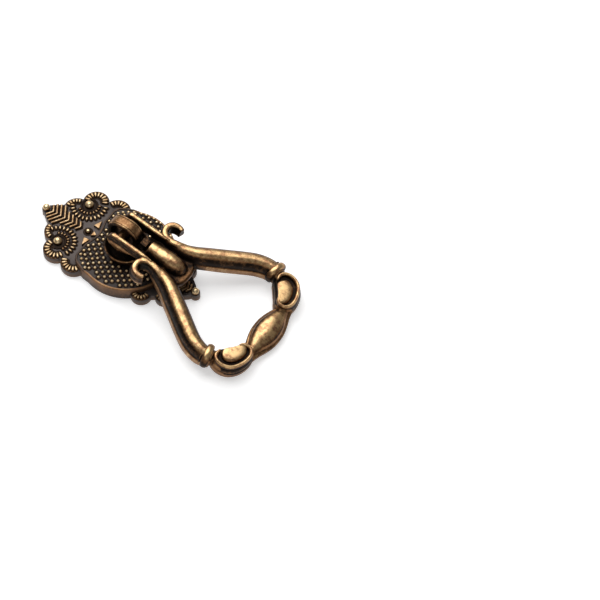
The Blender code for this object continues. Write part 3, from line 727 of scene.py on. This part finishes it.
def dot_stands(x, y):
    """True where a dot of the lattice stands on the body, clear of the post; all in mm."""
    reach = math.hypot(x, y)
    if reach < 5.9:
        return False
    if y > 10:
        return 4.5 < abs(x) < 9.6
    if y > 9:
        return 1.2 < abs(x) < 10.6
    return reach < (14.2 if x > 0 else 12.6 if y < 5 else 13.7)


class HANDLE_OT_dots(bpy.types.Operator):
    """Strews the raised dots over the plate's body"""

    bl_idname = "handle.dots"
    bl_label = "Dots"

    def execute(self, context):
        plate = settings().plate
        radius, low = plate.dot_radius, plate.field_ground
        edge = plate.field_radius - radius
        bm = bmesh.new()
        for row in range(-10, 9):
            y = row * plate.row_pitch
            first = -0.75 * MM if row % 2 == 0 else 0.27 * MM
            for column in range(-7, 8):
                x = first + column * plate.dot_pitch
                if not dot_stands(x / MM, y / MM):
                    continue
                reach = math.hypot(x, y)
                if reach > edge:
                    x, y = x * edge / reach, y * edge / reach
                place = Matrix.Translation((x, y, low - 0.08 * MM))
                mound(bm, place, 2 * radius, 2 * radius, 0.66 * MM, 12, 8)
                if reach < edge - 0.4 * MM:
                    skirt(bm, Matrix.Translation((x, y, low)), 1.75 * MM, 1.75 * MM)
        rule = by_height(low + 0.16 * MM, low + 0.46 * MM, 0.0, 0.95)
        add_ornament("dots", bm, rule, 80)
        return {"FINISHED"}


def chevron(bm, apex, reach, ground, rise, slope):
    """Ridge with two arms that slope up from its apex, and its skirt."""
    half = 0.46 * MM
    run = []
    for x in (-reach, -0.12, 0, 0.12, reach):
        y = apex + slope * max(abs(x), 0.06)
        run.append((x * MM, y * MM, ground - 0.1 * MM, half, rise + 0.1 * MM))
    stations = []
    for i, (x, y, z, width, depth) in enumerate(run):
        along = Vector((1, 0)) if i == 2 else Vector((1, slope if x > 0 else -slope))
        stations.append(station((x, y, z), along, width * (1.12 if i == 2 else 1), depth))
    sweep(bm, stations, 12)
    flat = Matrix.Diagonal((1.7, SKIRT_RISE / (rise + 0.1 * MM), 1, 1))
    sweep(bm, [at(0, 0, 0.1 * MM) @ place @ flat for place in stations], 8)


class HANDLE_OT_chevrons(bpy.types.Operator):
    """Lays the crest's and the tail's chevron ridges, the balls and the small triangles"""

    bl_idname = "handle.chevrons"
    bl_label = "Chevrons and balls"

    def execute(self, context):
        plate = settings().plate
        ground = plate.ground
        bm = bmesh.new()
        for chevrons, slope in ((CREST_CHEVRONS, 0.64), (TAIL_CHEVRONS, 0.5)):
            for apex, reach in chevrons:
                chevron(bm, apex, reach, ground, plate.chevron_rise, slope)
        rule = by_height(ground + 0.4 * plate.chevron_rise, ground + 0.85 * plate.chevron_rise, 0.0, 0.6)
        add_ornament("chevrons", bm, rule, 50)

        bm = bmesh.new()
        for x, y, z, radius in ((0, 28.45, 2.6, 1.12), (0, -23.45, 2.6, 1.15), (0, 13.75, 2.35, 0.86)):
            ball(bm, (x * MM, y * MM, z * MM), radius * MM)
        skirt(bm, at(0, 13.75, ground), 3.0 * MM, 3.0 * MM)
        for side in (-EYE[0], EYE[0]):
            ball(bm, (side * MM, EYE[1] * MM, 2.5 * MM), 1.32 * MM)
            skirt(bm, at(side, EYE[1], ground), 4.6 * MM, 4.6 * MM)
        add_ornament("balls", bm, by_height(2.5 * MM, 3.3 * MM, 0.02, 0.95), 80)

        bm = bmesh.new()
        for corners in (
            ((2.4, 13.5), (5.0, 12.35), (2.3, 11.55)),
            ((-2.4, 13.5), (-2.3, 11.55), (-5.0, 12.35)),
            ((-0.95, 12.2), (0, 10.7), (0.95, 12.2)),
        ):
            slab(bm, in_mm(corners), ground - 0.3 * MM, ground + 0.75 * MM)
        edges = [edge for edge in bm.edges if min(v.co.z for v in edge.verts) > ground]
        round_edges(bm, edges, 0.14 * MM, 2, False)
        add_ornament("triangles", bm, by_height(ground, ground + 0.7 * MM, 0.05, 0.58), 30)

        bm = bmesh.new()
        ring = [(2.05, 0.26), (1.9, 0.1), (1.85, -0.3), (2.7, -0.3), (2.62, 0.1), (2.45, 0.26)]
        ring = [(2.25, 0.3), *ring, (2.25, 0.3)]
        for side in (-EYE[0], EYE[0]):
            turned(bm, in_mm(ring), 40, at(side, EYE[1], ground - 0.05 * MM))
        add_ornament("eye_rings", bm, by_height(ground, ground + 0.3 * MM, 0.0, 0.08), 60)
        return {"FINISHED"}


# Post and pin

def eye_loop(inset, bottom, steps=32):
    """Outline of the arch as (along, height) points."""
    post = settings().post
    half = post.eye_length / 2 - inset
    loop = [(half, bottom), (half, (bottom + post.pivot_height) / 2)]
    for i in range(steps + 1):
        angle = math.pi * i / steps
        along = math.copysign(abs(math.cos(angle)) ** 0.8, math.cos(angle))
        loop.append((half * along, post.pivot_height + (post.eye_rise - inset) * math.sin(angle) ** 0.8))
    loop += [(-half, (bottom + post.pivot_height) / 2), (-half, bottom)]
    return loop


class HANDLE_OT_post(bpy.types.Operator):
    """Casts the post: spigot, dished flange and arched eye, and the pin through it"""

    bl_idname = "handle.post"
    bl_label = "Post and pin"

    def execute(self, context):
        post = settings().post
        lip, radius, spigot = post.flange_top / MM, post.flange_radius / MM, post.spigot_radius / MM
        profile = [
            (1.65, 7.0), (1.65, 0.3), (spigot - 0.2, 0.3), (spigot, 0.5), (spigot, 4.2), (5.3, 4.2),
            (5.55, 4.35), (5.75, 5.3), (6.1, 6.4), (radius, lip - 0.32), (radius, lip - 0.12),
            (radius - 0.1, lip), (radius - 0.3, lip + 0.02), (radius - 0.5, lip - 0.1),
            (radius - 0.72, lip - 0.55), (radius - 1.35, lip - 1.45), (radius - 2.1, lip - 1.75), (0, lip - 1.8),
        ]
        bm = bmesh.new()
        turned(bm, [(0, 7.6 * MM)] + in_mm(profile), 96)

        def flange_wear_and_light(vertex):
            reach = vertex.co.xy.length
            if vertex.co.z > post.flange_top - 0.35 * MM and reach > post.flange_radius - 0.6 * MM:
                # The lip is painted lighter towards its left side, towards the tail: a painted highlight where
                # the light catches it, over a little wear
                return 0.08 + 0.46 * max(0.0, -(0.83 * vertex.co.x + 0.56 * vertex.co.y) / reach) ** 1.5
            # The dish inside the lip is painted dark: painted shade under the bail's ears
            return 0.14 if reach > post.flange_radius - 1.2 * MM else 0.0
        add_piece("post_flange", bm, POST, "post brass", flange_wear_and_light, 40)

        # Across the band: place as a share of its half width, and how far its surface lies in
        steps = (
            (-1, 0.45), (-0.97, 0.2), (-0.88, 0.02), (-0.76, 0.0), (-0.68, 0.1), (-0.6, 0.02), (-0.3, 0.0),
        )
        steps += tuple((-place, inset) for place, inset in reversed(steps))
        half = post.eye_width / 2
        bm = bmesh.new()
        rings = []
        for place, inset in steps:
            rings.append([bm.verts.new((place * half, y, z)) for y, z in eye_loop(inset * MM, 4.6 * MM)])
        floor = post.pivot_height - post.pin_radius - 0.3 * MM
        for place, inset in reversed(steps[:3] + steps[-3:]):
            loop = eye_loop(post.eye_wall - 0.6 * inset * MM, floor)
            rings.append([bm.verts.new((place * half, y, z)) for y, z in loop])
        skin(bm, rings + rings[:1])
        pivot = post.pivot_height

        # Painted light and shade: the arch is painted lighter towards its top, and dark inside its hole and low
        # on its outer sides
        def eye_rule(vertex):
            across = abs(vertex.co.x) / half
            y, z = abs(vertex.co.y), vertex.co.z - pivot
            inside = (y / (0.48 * post.eye_length)) ** 2.5 + (max(0, z) / (0.96 * post.eye_rise)) ** 2.5 < 0.8
            if inside:
                return 0.04
            if 0.62 < across < 0.74:
                return 0.05
            lit = share_of(z, 1.2 * MM, 3.2 * MM)
            if across > 0.96:
                return 0.2 * lit
            return 0.04 + (0.58 if across > 0.74 else 0.48) * lit
        add_piece("post_eye", bm, POST, "post brass", eye_rule, 50)

        bm = bmesh.new()
        half, r = 4.3, post.pin_radius / MM
        profile = [(0, -half), (r - 0.45, -half), (r - 0.1, -half + 0.15), (r, -half + 0.4), (r, half - 0.4),
                   (r - 0.1, half - 0.15), (r - 0.45, half), (0, half)]
        turned(bm, in_mm(profile), 48, at(0, 0, pivot) @ turn(90, "Y"))
        add_piece("pin", bm, PIN, "post brass", lambda vertex: 0.3, 40)
        return {"FINISHED"}


# Bail

def bail_frame():
    """Places the bail's own plane: X across, Y back towards the pin, Z up from the pin's axis."""
    post, bail = settings().post, settings().bail
    arm = bail.ear_radius - bail.depth / 2
    drop = post.pivot_height - bail.depth / 2 - bail.rest_gap
    tilt = math.asin(drop / math.hypot(bail.grip_reach, arm)) + math.atan2(arm, bail.grip_reach)
    return at(0, 0, post.pivot_height) @ Matrix.Rotation(tilt, 4, "X")


def level(depth):
    """Height above the pin's axis of a depth in mm below the bail's top plane."""
    return settings().bail.ear_radius - depth * MM


def bail_run(knots, per_span):
    """Run for sweep_flat from knots of (x, s, depth of centre, half width, half depth), all mm."""
    run = flat_run(knots, per_span)
    return [(x * MM, -s * MM, level(depth), width * MM, height * MM) for x, s, depth, width, height in run]


# Runs of the bail: across, along from the pin, depth of the middle, half width and half depth
ARM_KNOTS = (
    (4.5, 12.0, 2.0, 1.1, 1.6),
    (4.8, 14.0, 2.55, 1.85, 2.2),
    (5.3, 16.6, 2.95, 2.5, 2.7),
    (6.5, 19.6, 3.05, 2.9, 2.9),
    (8.6, 22.9, 3.1, 3.05, 2.95),
    (10.9, 26.5, 3.1, 3.1, 2.95),
    (13.35, 30.2, 3.1, 3.1, 2.95),
    (15.6, 33.9, 3.05, 3.05, 2.9),
    (16.7, 37.0, 3.0, 2.92, 2.85),
    (16.9, 39.4, 2.95, 2.7, 2.7),
    (16.6, 41.6, 2.9, 2.2, 2.3),
)
SCROLL_KNOTS = (
    (6.7, 18.6, 3.5, 1.3, 2.0),
    (5.9, 16.6, 2.75, 1.5, 2.1),
    (5.15, 14.6, 2.3, 1.45, 2.1),
    (4.7, 12.2, 2.2, 1.35, 2.0),
    (4.95, 10.2, 2.2, 1.28, 2.0),
    (6.25, 8.85, 2.15, 1.22, 1.95),
    (8.0, 8.7, 2.15, 1.2, 1.95),
    (9.35, 9.7, 2.15, 1.18, 1.95),
    (9.75, 11.35, 2.15, 1.1, 1.9),
    (9.35, 12.7, 2.1, 0.95, 1.8),
)
PAD_KNOTS = (
    (14.3, 41.5), (16.4, 41.5), (17.8, 42.8), (18.2, 45.1), (17.35, 47.7), (15.1, 49.6), (12.3, 50.5),
    (9.6, 50.4), (7.8, 49.2), (7.4, 47.3), (8.3, 45.8), (10.1, 44.7), (11.9, 43.3), (13.1, 42.2),
)
PAD_MIDDLE = (13.1, 46.6)
PAD_STEPS = 4
# Knots of the pad between which its edge faces the bail's window
WINDOW_KNOTS = (10.35, 13.3)
CUSHION_KNOTS = (
    (12.5, 43.25), (13.6, 42.9), (14.9, 43.5), (15.7, 44.7), (15.4, 46.2), (14.2, 47.5), (12.4, 48.3),
    (10.4, 48.45), (8.95, 47.8), (8.35, 46.85), (9.0, 45.85), (10.1, 45.15), (11.2, 44.4), (11.95, 43.7),
)
CUSHION_ROOT = (11.3, 45.0)


def cast_section(fullness=1.0):
    """Dome on a slightly broader foot with upright sides, as (across, up) shares; below one it is flatter."""
    dome = []
    for degrees in range(6, 175, 12):
        across, up = math.cos(math.radians(degrees)), math.sin(math.radians(degrees))
        dome.append((0.87 * math.copysign(abs(across) ** fullness, across), up ** fullness))
    foot = [(0.99, -0.12), (0.9, 0.0), (0.86, 0.05)]
    low = [(0.5, -1.0), (0.88, -0.98), (0.98, -0.88), (1.0, -0.6), (1.0, -0.22)]
    left = [(-x, y) for x, y in reversed(low + foot)]
    return low + foot + dome + left


def closed_loop(knots):
    return flat_run([knots[-1], *knots, knots[0]], PAD_STEPS)[PAD_STEPS:-PAD_STEPS]


def pad_loop(grow):
    """The pad's closed outline, moved outwards from its middle, as points of (x, s)."""
    centre = Vector(PAD_MIDDLE)
    loop = []
    for point in closed_loop(PAD_KNOTS):
        away = Vector(point) - centre
        loop.append(centre + away * (1 + grow / away.length))
    return loop


def cushion_loop(share):
    """The cushion's outline, drawn in towards the middle of its window side."""
    root = Vector(CUSHION_ROOT)
    return [root + (Vector(point) - root) * share for point in closed_loop(CUSHION_KNOTS)]


def stack_loops(bm, levels, loop_at):
    """Skins loops laid at several depths and closes the lowest and the highest."""
    rings = [
        [bm.verts.new((x * MM, -s * MM, level(depth))) for x, s in loop_at(grow)] for depth, grow in levels
    ]
    edges = [closed_edges(bm, points) for points in rings]
    for lower, upper in zip(edges, edges[1:]):
        bmesh.ops.bridge_loops(bm, edges=lower + upper)
    for ring in (edges[0], edges[-1]):
        bmesh.ops.contextual_create(bm, geom=ring)


# Flutes on an ear, as depths and how far they stand out, in mm: a step in, a band, a groove and a second band
EAR_FLUTES = (
    (0.85, -0.32), (1.1, -0.38), (1.35, -0.2), (1.9, -0.02), (2.5, 0.0), (2.8, -0.18), (3.05, -0.26),
    (3.3, -0.14), (3.9, 0.04), (4.6, 0.08),
)


def ear_edges(s):
    """Top and bottom of the ear at a place along it, as heights above the pin's axis in mm."""
    radius = settings().bail.ear_radius / MM
    top = radius if s > -0.9 else math.sqrt(max(0.0, 1 - ((s + 0.9) / 2.1) ** 2)) * radius
    if s < 1.2:
        low = -math.sqrt(max(0.0, 1 - ((s - 1.2) / 4.2) ** 2)) * (radius + 0.1)
    else:
        low = -3.1 + (s - 1.2) * 0.62 if s < 5.4 else -0.5 + (s - 5.4) * 0.05
    return min(top, radius), low


def add_ears(bm):
    """Ear with a rounded ridge, two flutes on its outer face and a pointed root."""
    places = [-2.98, -2.9, -2.7, -2.3, -1.8, -1.2, -0.6] + [0.4 * i for i in range(27)] + [10.8, 11.2, 11.5]
    rings = []
    for s in places:
        top, low = ear_edges(s)
        span = max(0.2, top - low)
        taper = 1.0 if s < 8.5 else max(0.12, 1 - (s - 8.5) / 3.3)
        inner = 3.5 + 0.45 * (1 - taper)
        ridge = 1.45 * taper
        face = 4.9 - 0.9 * (1 - taper)
        outer = inner + ridge
        loop = [(inner, low + 0.15 * span), (inner, top - 0.45), (inner + 0.12, top - 0.12)]
        loop += [(inner + 0.42, top), (outer - 0.42 * taper, top)]
        loop += [(outer - 0.08, top - 0.18), (outer, top - 0.5)]
        loop += [(face + out * taper, max(low + 0.12, top - drop)) for drop, out in EAR_FLUTES]
        loop += [(face - 0.1, low + 0.05), (face - 0.4, low), (inner + 0.3, low)]
        rings.append([bm.verts.new((x * MM, -s * MM, z * MM)) for x, z in loop])
    edges = [closed_edges(bm, points) for points in rings]
    skin(bm, rings)
    for ring in (edges[0], edges[-1]):
        bmesh.ops.contextual_create(bm, geom=ring)


def add_boss(bm):
    """Bullet-shaped boss between the arms."""
    profile = [
        (0, 8.3), (2.3, 8.3), (2.42, 8.42), (2.5, 9.6), (2.65, 11.4), (2.9, 13.4), (2.98, 15.4), (2.82, 17.3),
        (2.42, 18.9), (1.75, 20.0), (0.9, 20.5), (0, 20.65),
    ]
    turned(bm, in_mm(profile), 40, at(0, 0, level(2.85)) @ turn(90, "X"))


def add_web(bm):
    """Web under the boss, with the lug and the tongue that reach towards the eye."""
    outline = [
        (0, 8.6), (4.2, 8.6), (5.2, 11.5), (5.7, 16.5), (5.2, 20.3), (3.0, 21.9), (1.4, 22.3), (0, 22.3),
    ]
    loop = [Vector((-x, s)) for x, s in reversed(outline[1:-1])] + [Vector((x, s)) for x, s in outline]

    def loop_at(grow):
        centre = Vector((0, 15.5))
        return [centre + (point - centre) * (1 + grow / 8) for point in loop]
    stack_loops(bm, ((5.1, -0.7), (4.7, 0), (3.2, 0), (2.8, -0.6)), loop_at)
    for s, depth, shape in ((7.8, 3.9, (7.2, 2.6, 1.3, 1)), (6.55, 2.5, (2.5, 2.2, 2.6, 1))):
        bmesh.ops.create_cube(bm, size=MM, matrix=at(0, -s, level(depth)) @ Matrix.Diagonal(shape))


def add_pads(bm):
    """Body of the pad up to the floor of its groove."""
    levels = (
        (5.3, -0.4), (5.2, 0.15), (4.85, 0.48), (3.4, 0.5), (3.1, 0.42), (2.9, 0.2), (2.7, 0.26), (2.2, 0.14),
        (1.6, -0.16), (1.35, -0.6), (1.3, -1.2),
    )
    stack_loops(bm, levels, pad_loop)


def add_collars(bm):
    """Core under the collar ring, with the valleys beside it."""
    profile = [(0, -2.2), (2.3, -2.2), (2.35, -1.2), (2.35, 1.2), (2.3, 1.6), (0, 1.6)]
    turned(bm, in_mm(profile), 40, collar_place())


def collar_place():
    """Turns a collar's axis along the arm and flattens it a little."""
    return at(16.75, -40.15, level(2.9)) @ turn(90, "X") @ turn(-12, "Y") @ Matrix.Diagonal((1, 0.86, 1, 1))


GRIP_SHARES = (
    (-10.6, 0.42), (-9.6, 0.47), (-8.4, 0.53), (-7.2, 0.61), (-6.2, 0.70), (-5.0, 0.80), (-3.6, 0.90),
    (-2.0, 0.975), (0, 1.0),
)


def add_grip(bm):
    """Lens-shaped dome on a broader foot with upright sides."""
    bail = settings().bail
    radius = bail.grip_radius / MM
    reach = bail.grip_reach / MM
    shares = list(GRIP_SHARES) + [(-x, share) for x, share in reversed(GRIP_SHARES[:-1])]

    def loop_at(grow):
        outer = [(x, reach + radius * share + grow) for x, share in shares]
        inner = [(x, reach - radius * share - grow) for x, share in reversed(shares)]
        return [Vector(point) for point in outer + inner]
    levels = (
        (4.85, -1.1), (4.65, -0.5), (4.25, -0.12), (3.7, 0), (3.0, 0), (2.7, -0.15), (2.55, -0.5),
        (2.5, -1.0),
    )
    stack_loops(bm, levels, loop_at)
    profile = [(radius * (0.86 * share - 0.34 * (1 - share)) * MM, x * MM) for x, share in GRIP_SHARES]
    profile = [(0, profile[0][1])] + profile
    profile += [(r, -x) for r, x in reversed(profile[:-1])]
    place = Matrix.Translation((0, -bail.grip_reach, level(2.75))) @ turn(90, "Y")
    turned(bm, profile, 48, place @ Matrix.Diagonal((2.65 / (0.86 * radius), 1, 1, 1)))


def blended_bail(voxel):
    """One closed mesh of all the bail's forms, with small fillets where they meet."""
    bm = bmesh.new()
    sweep_flat(bm, bail_run(ARM_KNOTS, 5), section=cast_section())
    sweep_flat(bm, bail_run(SCROLL_KNOTS, 6), section=cast_section(0.62))
    add_ears(bm)
    add_pads(bm)
    add_collars(bm)
    add_twin(bm)
    add_boss(bm)
    add_web(bm)
    add_grip(bm)
    turn_outward(bm)
    piece = linked("bail_forms", new_mesh("bail_forms", bm))
    modifier = piece.modifiers.new("blend", "REMESH")
    modifier.mode = "VOXEL"
    modifier.voxel_size = voxel
    bpy.context.view_layer.update()
    result = applied_mesh(piece)
    bpy.data.objects.remove(piece)
    return result


def wear_and_light_by_openness(mesh, reach, rays, base):
    """Stores wear from how open and how convex each point is, with the painted light and shade of the base rule.
    """
    bm = bmesh.new()
    bm.from_mesh(mesh)
    bm.normal_update()
    tree = BVHTree.FromBMesh(bm)
    golden = math.pi * (3 - math.sqrt(5))
    values, neighbours = [], []
    for vertex in bm.verts:
        spokes = [edge.other_vert(vertex) for edge in vertex.link_edges]
        normal = vertex.normal
        side = normal.orthogonal().normalized()
        other = normal.cross(side)
        start = vertex.co + normal * 0.03 * MM
        clear = 0
        for k in range(rays):
            height = 0.25 + 0.7 * (k + 0.5) / rays
            ring = math.sqrt(1 - height * height)
            angle = golden * k
            direction = normal * height + side * ring * math.cos(angle) + other * ring * math.sin(angle)
            if tree.ray_cast(start, direction, reach)[0] is None:
                clear += 1
        bend = 0.0
        for other_end in spokes:
            step = other_end.co - vertex.co
            bend -= step.dot(normal) / max(step.length_squared, 1e-12)
        bend /= max(len(spokes), 1)
        neighbours.append([other_end.index for other_end in spokes])
        values.append(base(vertex, clear / rays, bend * MM))
    for _ in range(2):
        values = [
            0.5 * value + 0.5 * sum(values[i] for i in near) / max(len(near), 1)
            for value, near in zip(values, neighbours)
        ]
    bm.free()
    store_wear_and_light(mesh, values)


# Where the casting's wear and painted light change, in mm: depths below its top plane, then distances from the
# pin
CREASE_SHADE_DEPTH = 2.75
FOOT_DEPTH = 2.9
GROOVE_DEPTH = 1.1
TONGUE_END = 8.25
BOSS_END = 18
PAD_START = 41.5
GRIP_START = 43
UNDERSIDE_WEAR = 0.26
# How far a point must be clear of other metal to count as open, and the rays that test it
OPEN_REACH = 2.6 * MM
OPEN_RAYS = 14


def casting_wear_and_light(vertex, clear, bend):
    """Rubbed tops and ridges, with patina in the hollows and on the tongue; along the sides, a dark band of
    patina in the crease and painted shade, and a painted reflection of the floor that lightens the lower walls.
    """
    x, s, tilt = abs(vertex.co.x) / MM, -vertex.co.y / MM, vertex.normal.z
    depth = (settings().bail.ear_radius - vertex.co.z) / MM
    up = share_of(tilt, 0.64, 0.94)
    up = up * up * (3 - 2 * up)
    wear_and_light = 0.06 + 0.74 * up * (0.4 + 0.6 * clear) + 0.34 * max(-0.5, min(0.5, bend))
    if abs(tilt) < 0.72:
        # Painted shade: a dark band along the sides at the crease, partly patina; painted reflection of the
        # floor: the walls below the foot are painted lighter
        crease_shade = math.exp(-((depth - CREASE_SHADE_DEPTH) / 0.4) ** 2)
        wear_and_light = wear_and_light * (1 - crease_shade) + 0.42 * share_of(depth, FOOT_DEPTH, FOOT_DEPTH + 0.5)
        # Painted reflection of the floor: the pads' outer walls are painted lighter, less in the dark band
        if s > PAD_START and depth > 1.6:
            wear_and_light = 0.45 - 0.22 * crease_shade
    if tilt < -0.6:
        wear_and_light = UNDERSIDE_WEAR
    if depth > GROOVE_DEPTH and tilt > 0.2 and math.hypot(x - PAD_MIDDLE[0], s - PAD_MIDDLE[1]) < 5.2:
        wear_and_light = 0.02
    # Hollow between boss, web and arms
    if depth > 2.5 and 9 < s < 24 and x < 6.5:
        wear_and_light = 0.35 * wear_and_light + 0.04
    # Foot of the grip
    if depth > 2.2 and s > GRIP_START and x < 9:
        wear_and_light = 0.8 * wear_and_light
    if TONGUE_END + 0.05 < s < BOSS_END and x < 3.2 and depth < 2.2:
        wear_and_light += 0.3 * max(0.0, tilt) * (1 - up) + 0.24 * up
    if s < TONGUE_END and x < 3.4:
        wear_and_light = 0.2 if tilt > 0.7 and x < 1.3 else 0.06
    return wear_and_light * (0.2 + 0.8 * clear ** 1.3)


class HANDLE_OT_bail(bpy.types.Operator):
    """Casts the bail: ears, boss, scrolls, arms, the pads' bodies and the barrel grip"""

    bl_idname = "handle.bail"
    bl_label = "Bail"

    def execute(self, context):
        voxel = settings().bail.voxel * 1
        hole = cylinder(settings().post.pin_radius + PIN_CLEARANCE, 8.8 * MM, 48, turn(90, "Y"))
        mesh = cut(blended_bail(voxel), hole)
        bm = bmesh.new()
        bm.from_mesh(mesh)
        bmesh.ops.smooth_vert(
            bm, verts=bm.verts, factor=0.5, use_axis_x=True, use_axis_y=True, use_axis_z=True
        )
        turn_outward(bm)
        bm.to_mesh(mesh)
        bm.free()
        mesh.shade_smooth()
        wear_and_light_by_openness(mesh, OPEN_REACH, OPEN_RAYS, casting_wear_and_light)
        mesh.transform(bail_frame())
        finish_piece("bail_casting", mesh, BAIL, "bail brass")
        return {"FINISHED"}


def by_depth(low, high, least, most):
    """Wear that fades from one depth to another, in mm, and on the sides."""
    def rule(vertex):
        depth = (settings().bail.ear_radius - vertex.co.z) / MM
        wear_and_light = least + (most - least) * (1 - share_of(depth, low, high))
        return wear_and_light * (0.55 + 0.45 * max(0.0, vertex.normal.z))
    return rule


class HANDLE_OT_trim(bpy.types.Operator):
    """Adds the pads' rims and cushions and the collar rings to the bail"""

    bl_idname = "handle.trim"
    bl_label = "Pads and collars"

    def execute(self, context):
        bm = bmesh.new()
        loop = pad_loop(-0.78)
        last = round(WINDOW_KNOTS[0] * PAD_STEPS)
        first = round(WINDOW_KNOTS[1] * PAD_STEPS) - len(loop)
        run = []
        for i in range(first, last + 1):
            x, s = loop[i % len(loop)]
            fade = min(1.0, 0.55 + 0.2 * min(i - first, last - i))
            run.append((x * MM, -s * MM, level(0.95), 0.56 * MM * fade, 0.95 * MM))
        sweep_flat(bm, run, 16)
        add_twin(bm)
        add_trim("pad_rims", bm, by_depth(0.25, 0.9, 0.1, 1.0))

        bm = bmesh.new()
        levels = (
            (1.6, 1.05), (1.15, 1.04), (0.85, 1.02), (0.62, 0.98), (0.46, 0.91), (0.37, 0.81), (0.32, 0.58),
        )
        stack_loops(bm, levels, cushion_loop)
        add_twin(bm)
        add_trim("pad_cushions", bm, by_depth(0.4, 0.95, 0.06, 0.86))

        bm = bmesh.new()
        ring = [(2.5, -1.05), (3.0, -1.02), (3.32, -0.86), (3.5, -0.58), (3.6, -0.2), (3.6, 0.2), (3.5, 0.58),
                (3.32, 0.86), (3.0, 1.02), (2.5, 1.05), (2.5, -1.05)]
        bead_ring = [(2.3, -1.4), (2.75, -1.38), (2.9, -1.52), (2.8, -1.68), (2.3, -1.75), (2.3, -1.4)]
        for profile in (ring, bead_ring):
            turned(bm, in_mm(profile), 48, collar_place())
        add_twin(bm)
        add_trim("collars", bm, by_depth(0.1, 1.9, 0.16, 0.98))
        return {"FINISHED"}


# Stage

def seen_directly(tree):
    """One where the camera or a reflection sees the stage, else nothing."""
    path = add_node(tree, "ShaderNodeLightPath").outputs
    seen = path["Is Camera Ray"]
    for kind in ("Is Glossy Ray", "Is Transmission Ray"):
        inputs = {0: seen, 1: path[kind]}
        seen = add_node(tree, "ShaderNodeMath", inputs, operation="ADD", use_clamp=True).outputs[0]
    return seen


def floor_material():
    """White floor that takes the shadows, and glows a little where it is seen."""
    material = bpy.data.materials.new("white floor")
    material.use_nodes = True
    tree = material.node_tree
    tree.nodes.remove(tree.nodes["Principled BSDF"])
    plain = add_node(tree, "ShaderNodeBsdfDiffuse", {"Color": (FLOOR_WHITE, FLOOR_WHITE, FLOOR_WHITE, 1)})
    share = add_node(tree, "ShaderNodeMath", {0: seen_directly(tree), 1: FLOOR_GLOW}, operation="MULTIPLY")
    glow = add_node(tree, "ShaderNodeEmission", {"Strength": share.outputs[0]})
    both = add_node(tree, "ShaderNodeAddShader", {0: plain.outputs[0], 1: glow.outputs[0]})
    fill(tree, tree.nodes["Material Output"], {"Surface": both.outputs[0]})
    return material


def studio_world():
    """Weak white surround that the camera sees as plain white."""
    world = bpy.data.worlds.new("studio")
    world.use_nodes = True
    tree = world.node_tree
    soft = tree.nodes["Background"]
    fill(tree, soft, {"Color": (1, 1, 1, 1), "Strength": SURROUND})
    white = add_node(tree, "ShaderNodeBackground", {"Strength": 1.0})
    path = add_node(tree, "ShaderNodeLightPath")
    mix = add_node(tree, "ShaderNodeMixShader", {
        "Fac": path.outputs["Is Camera Ray"], 1: soft.outputs[0], 2: white.outputs[0]
    })
    fill(tree, tree.nodes["World Output"], {"Surface": mix.outputs[0]})
    return world


class HANDLE_OT_stage(bpy.types.Operator):
    """Sets the white floor, the soft lights and the camera"""

    bl_idname = "handle.stage"
    bl_label = "Stage"

    def execute(self, context):
        scene = context.scene
        scene.view_settings.view_transform = "Standard"
        bm = bmesh.new()
        bmesh.ops.create_grid(bm, x_segments=1, y_segments=1, size=FLOOR_HALF_SIZE)
        floor = linked("floor", new_mesh("floor", bm))
        floor.location = (0, 0, -FLOOR_DROP)
        floor.data.materials.append(floor_material())
        scene.world = studio_world()

        for name, place, width, height, power in LAMPS:
            lamp = bpy.data.lights.new(name, "AREA")
            lamp.shape = "RECTANGLE"
            lamp.size, lamp.size_y = width, height
            lamp.energy = power
            item = linked(name, lamp)
            item.location = place
            item.rotation_euler = (LAMP_TARGET - Vector(place)).to_track_quat("-Z", "Y").to_euler()

        lens = bpy.data.cameras.new("camera")
        lens.sensor_width = SENSOR_WIDTH
        lens.lens = FOCAL_PIXELS * SENSOR_WIDTH / PICTURE_PIXELS
        lens.clip_start = 0.05
        camera = linked("camera", lens)
        camera.location = CAMERA_PLACE
        camera.rotation_euler = CAMERA_FORWARD.to_track_quat("-Z", "Y").to_euler()
        scene.camera = camera
        return {"FINISHED"}


class HANDLE_PT_panel(bpy.types.Panel):
    """Lists the handle's steps in the sidebar"""

    bl_idname = "HANDLE_PT_panel"
    bl_label = "Drop handle"
    bl_space_type = "VIEW_3D"
    bl_region_type = "UI"
    bl_category = "Handle"

    def draw(self, context):
        for step in STEPS:
            self.layout.operator(f"handle.{step}")


STEPS = ("backplate", "lobes", "dots", "chevrons", "post", "bail", "trim", "stage")
CLASSES = (
    PlateSettings, PostSettings, BailSettings, FinishSettings, HandleSettings,
    HANDLE_OT_backplate, HANDLE_OT_lobes, HANDLE_OT_dots, HANDLE_OT_chevrons, HANDLE_OT_post, HANDLE_OT_bail,
    HANDLE_OT_trim, HANDLE_OT_stage, HANDLE_PT_panel,
)


def register():
    for item in CLASSES:
        bpy.utils.register_class(item)
    bpy.types.Scene.drop_handle = bpy.props.PointerProperty(type=HandleSettings)


def unregister():
    del bpy.types.Scene.drop_handle
    for item in reversed(CLASSES):
        bpy.utils.unregister_class(item)


def main():
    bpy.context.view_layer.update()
    register()
    for step in STEPS:
        getattr(bpy.ops.handle, step)()


if __name__ == "__main__":
    main()
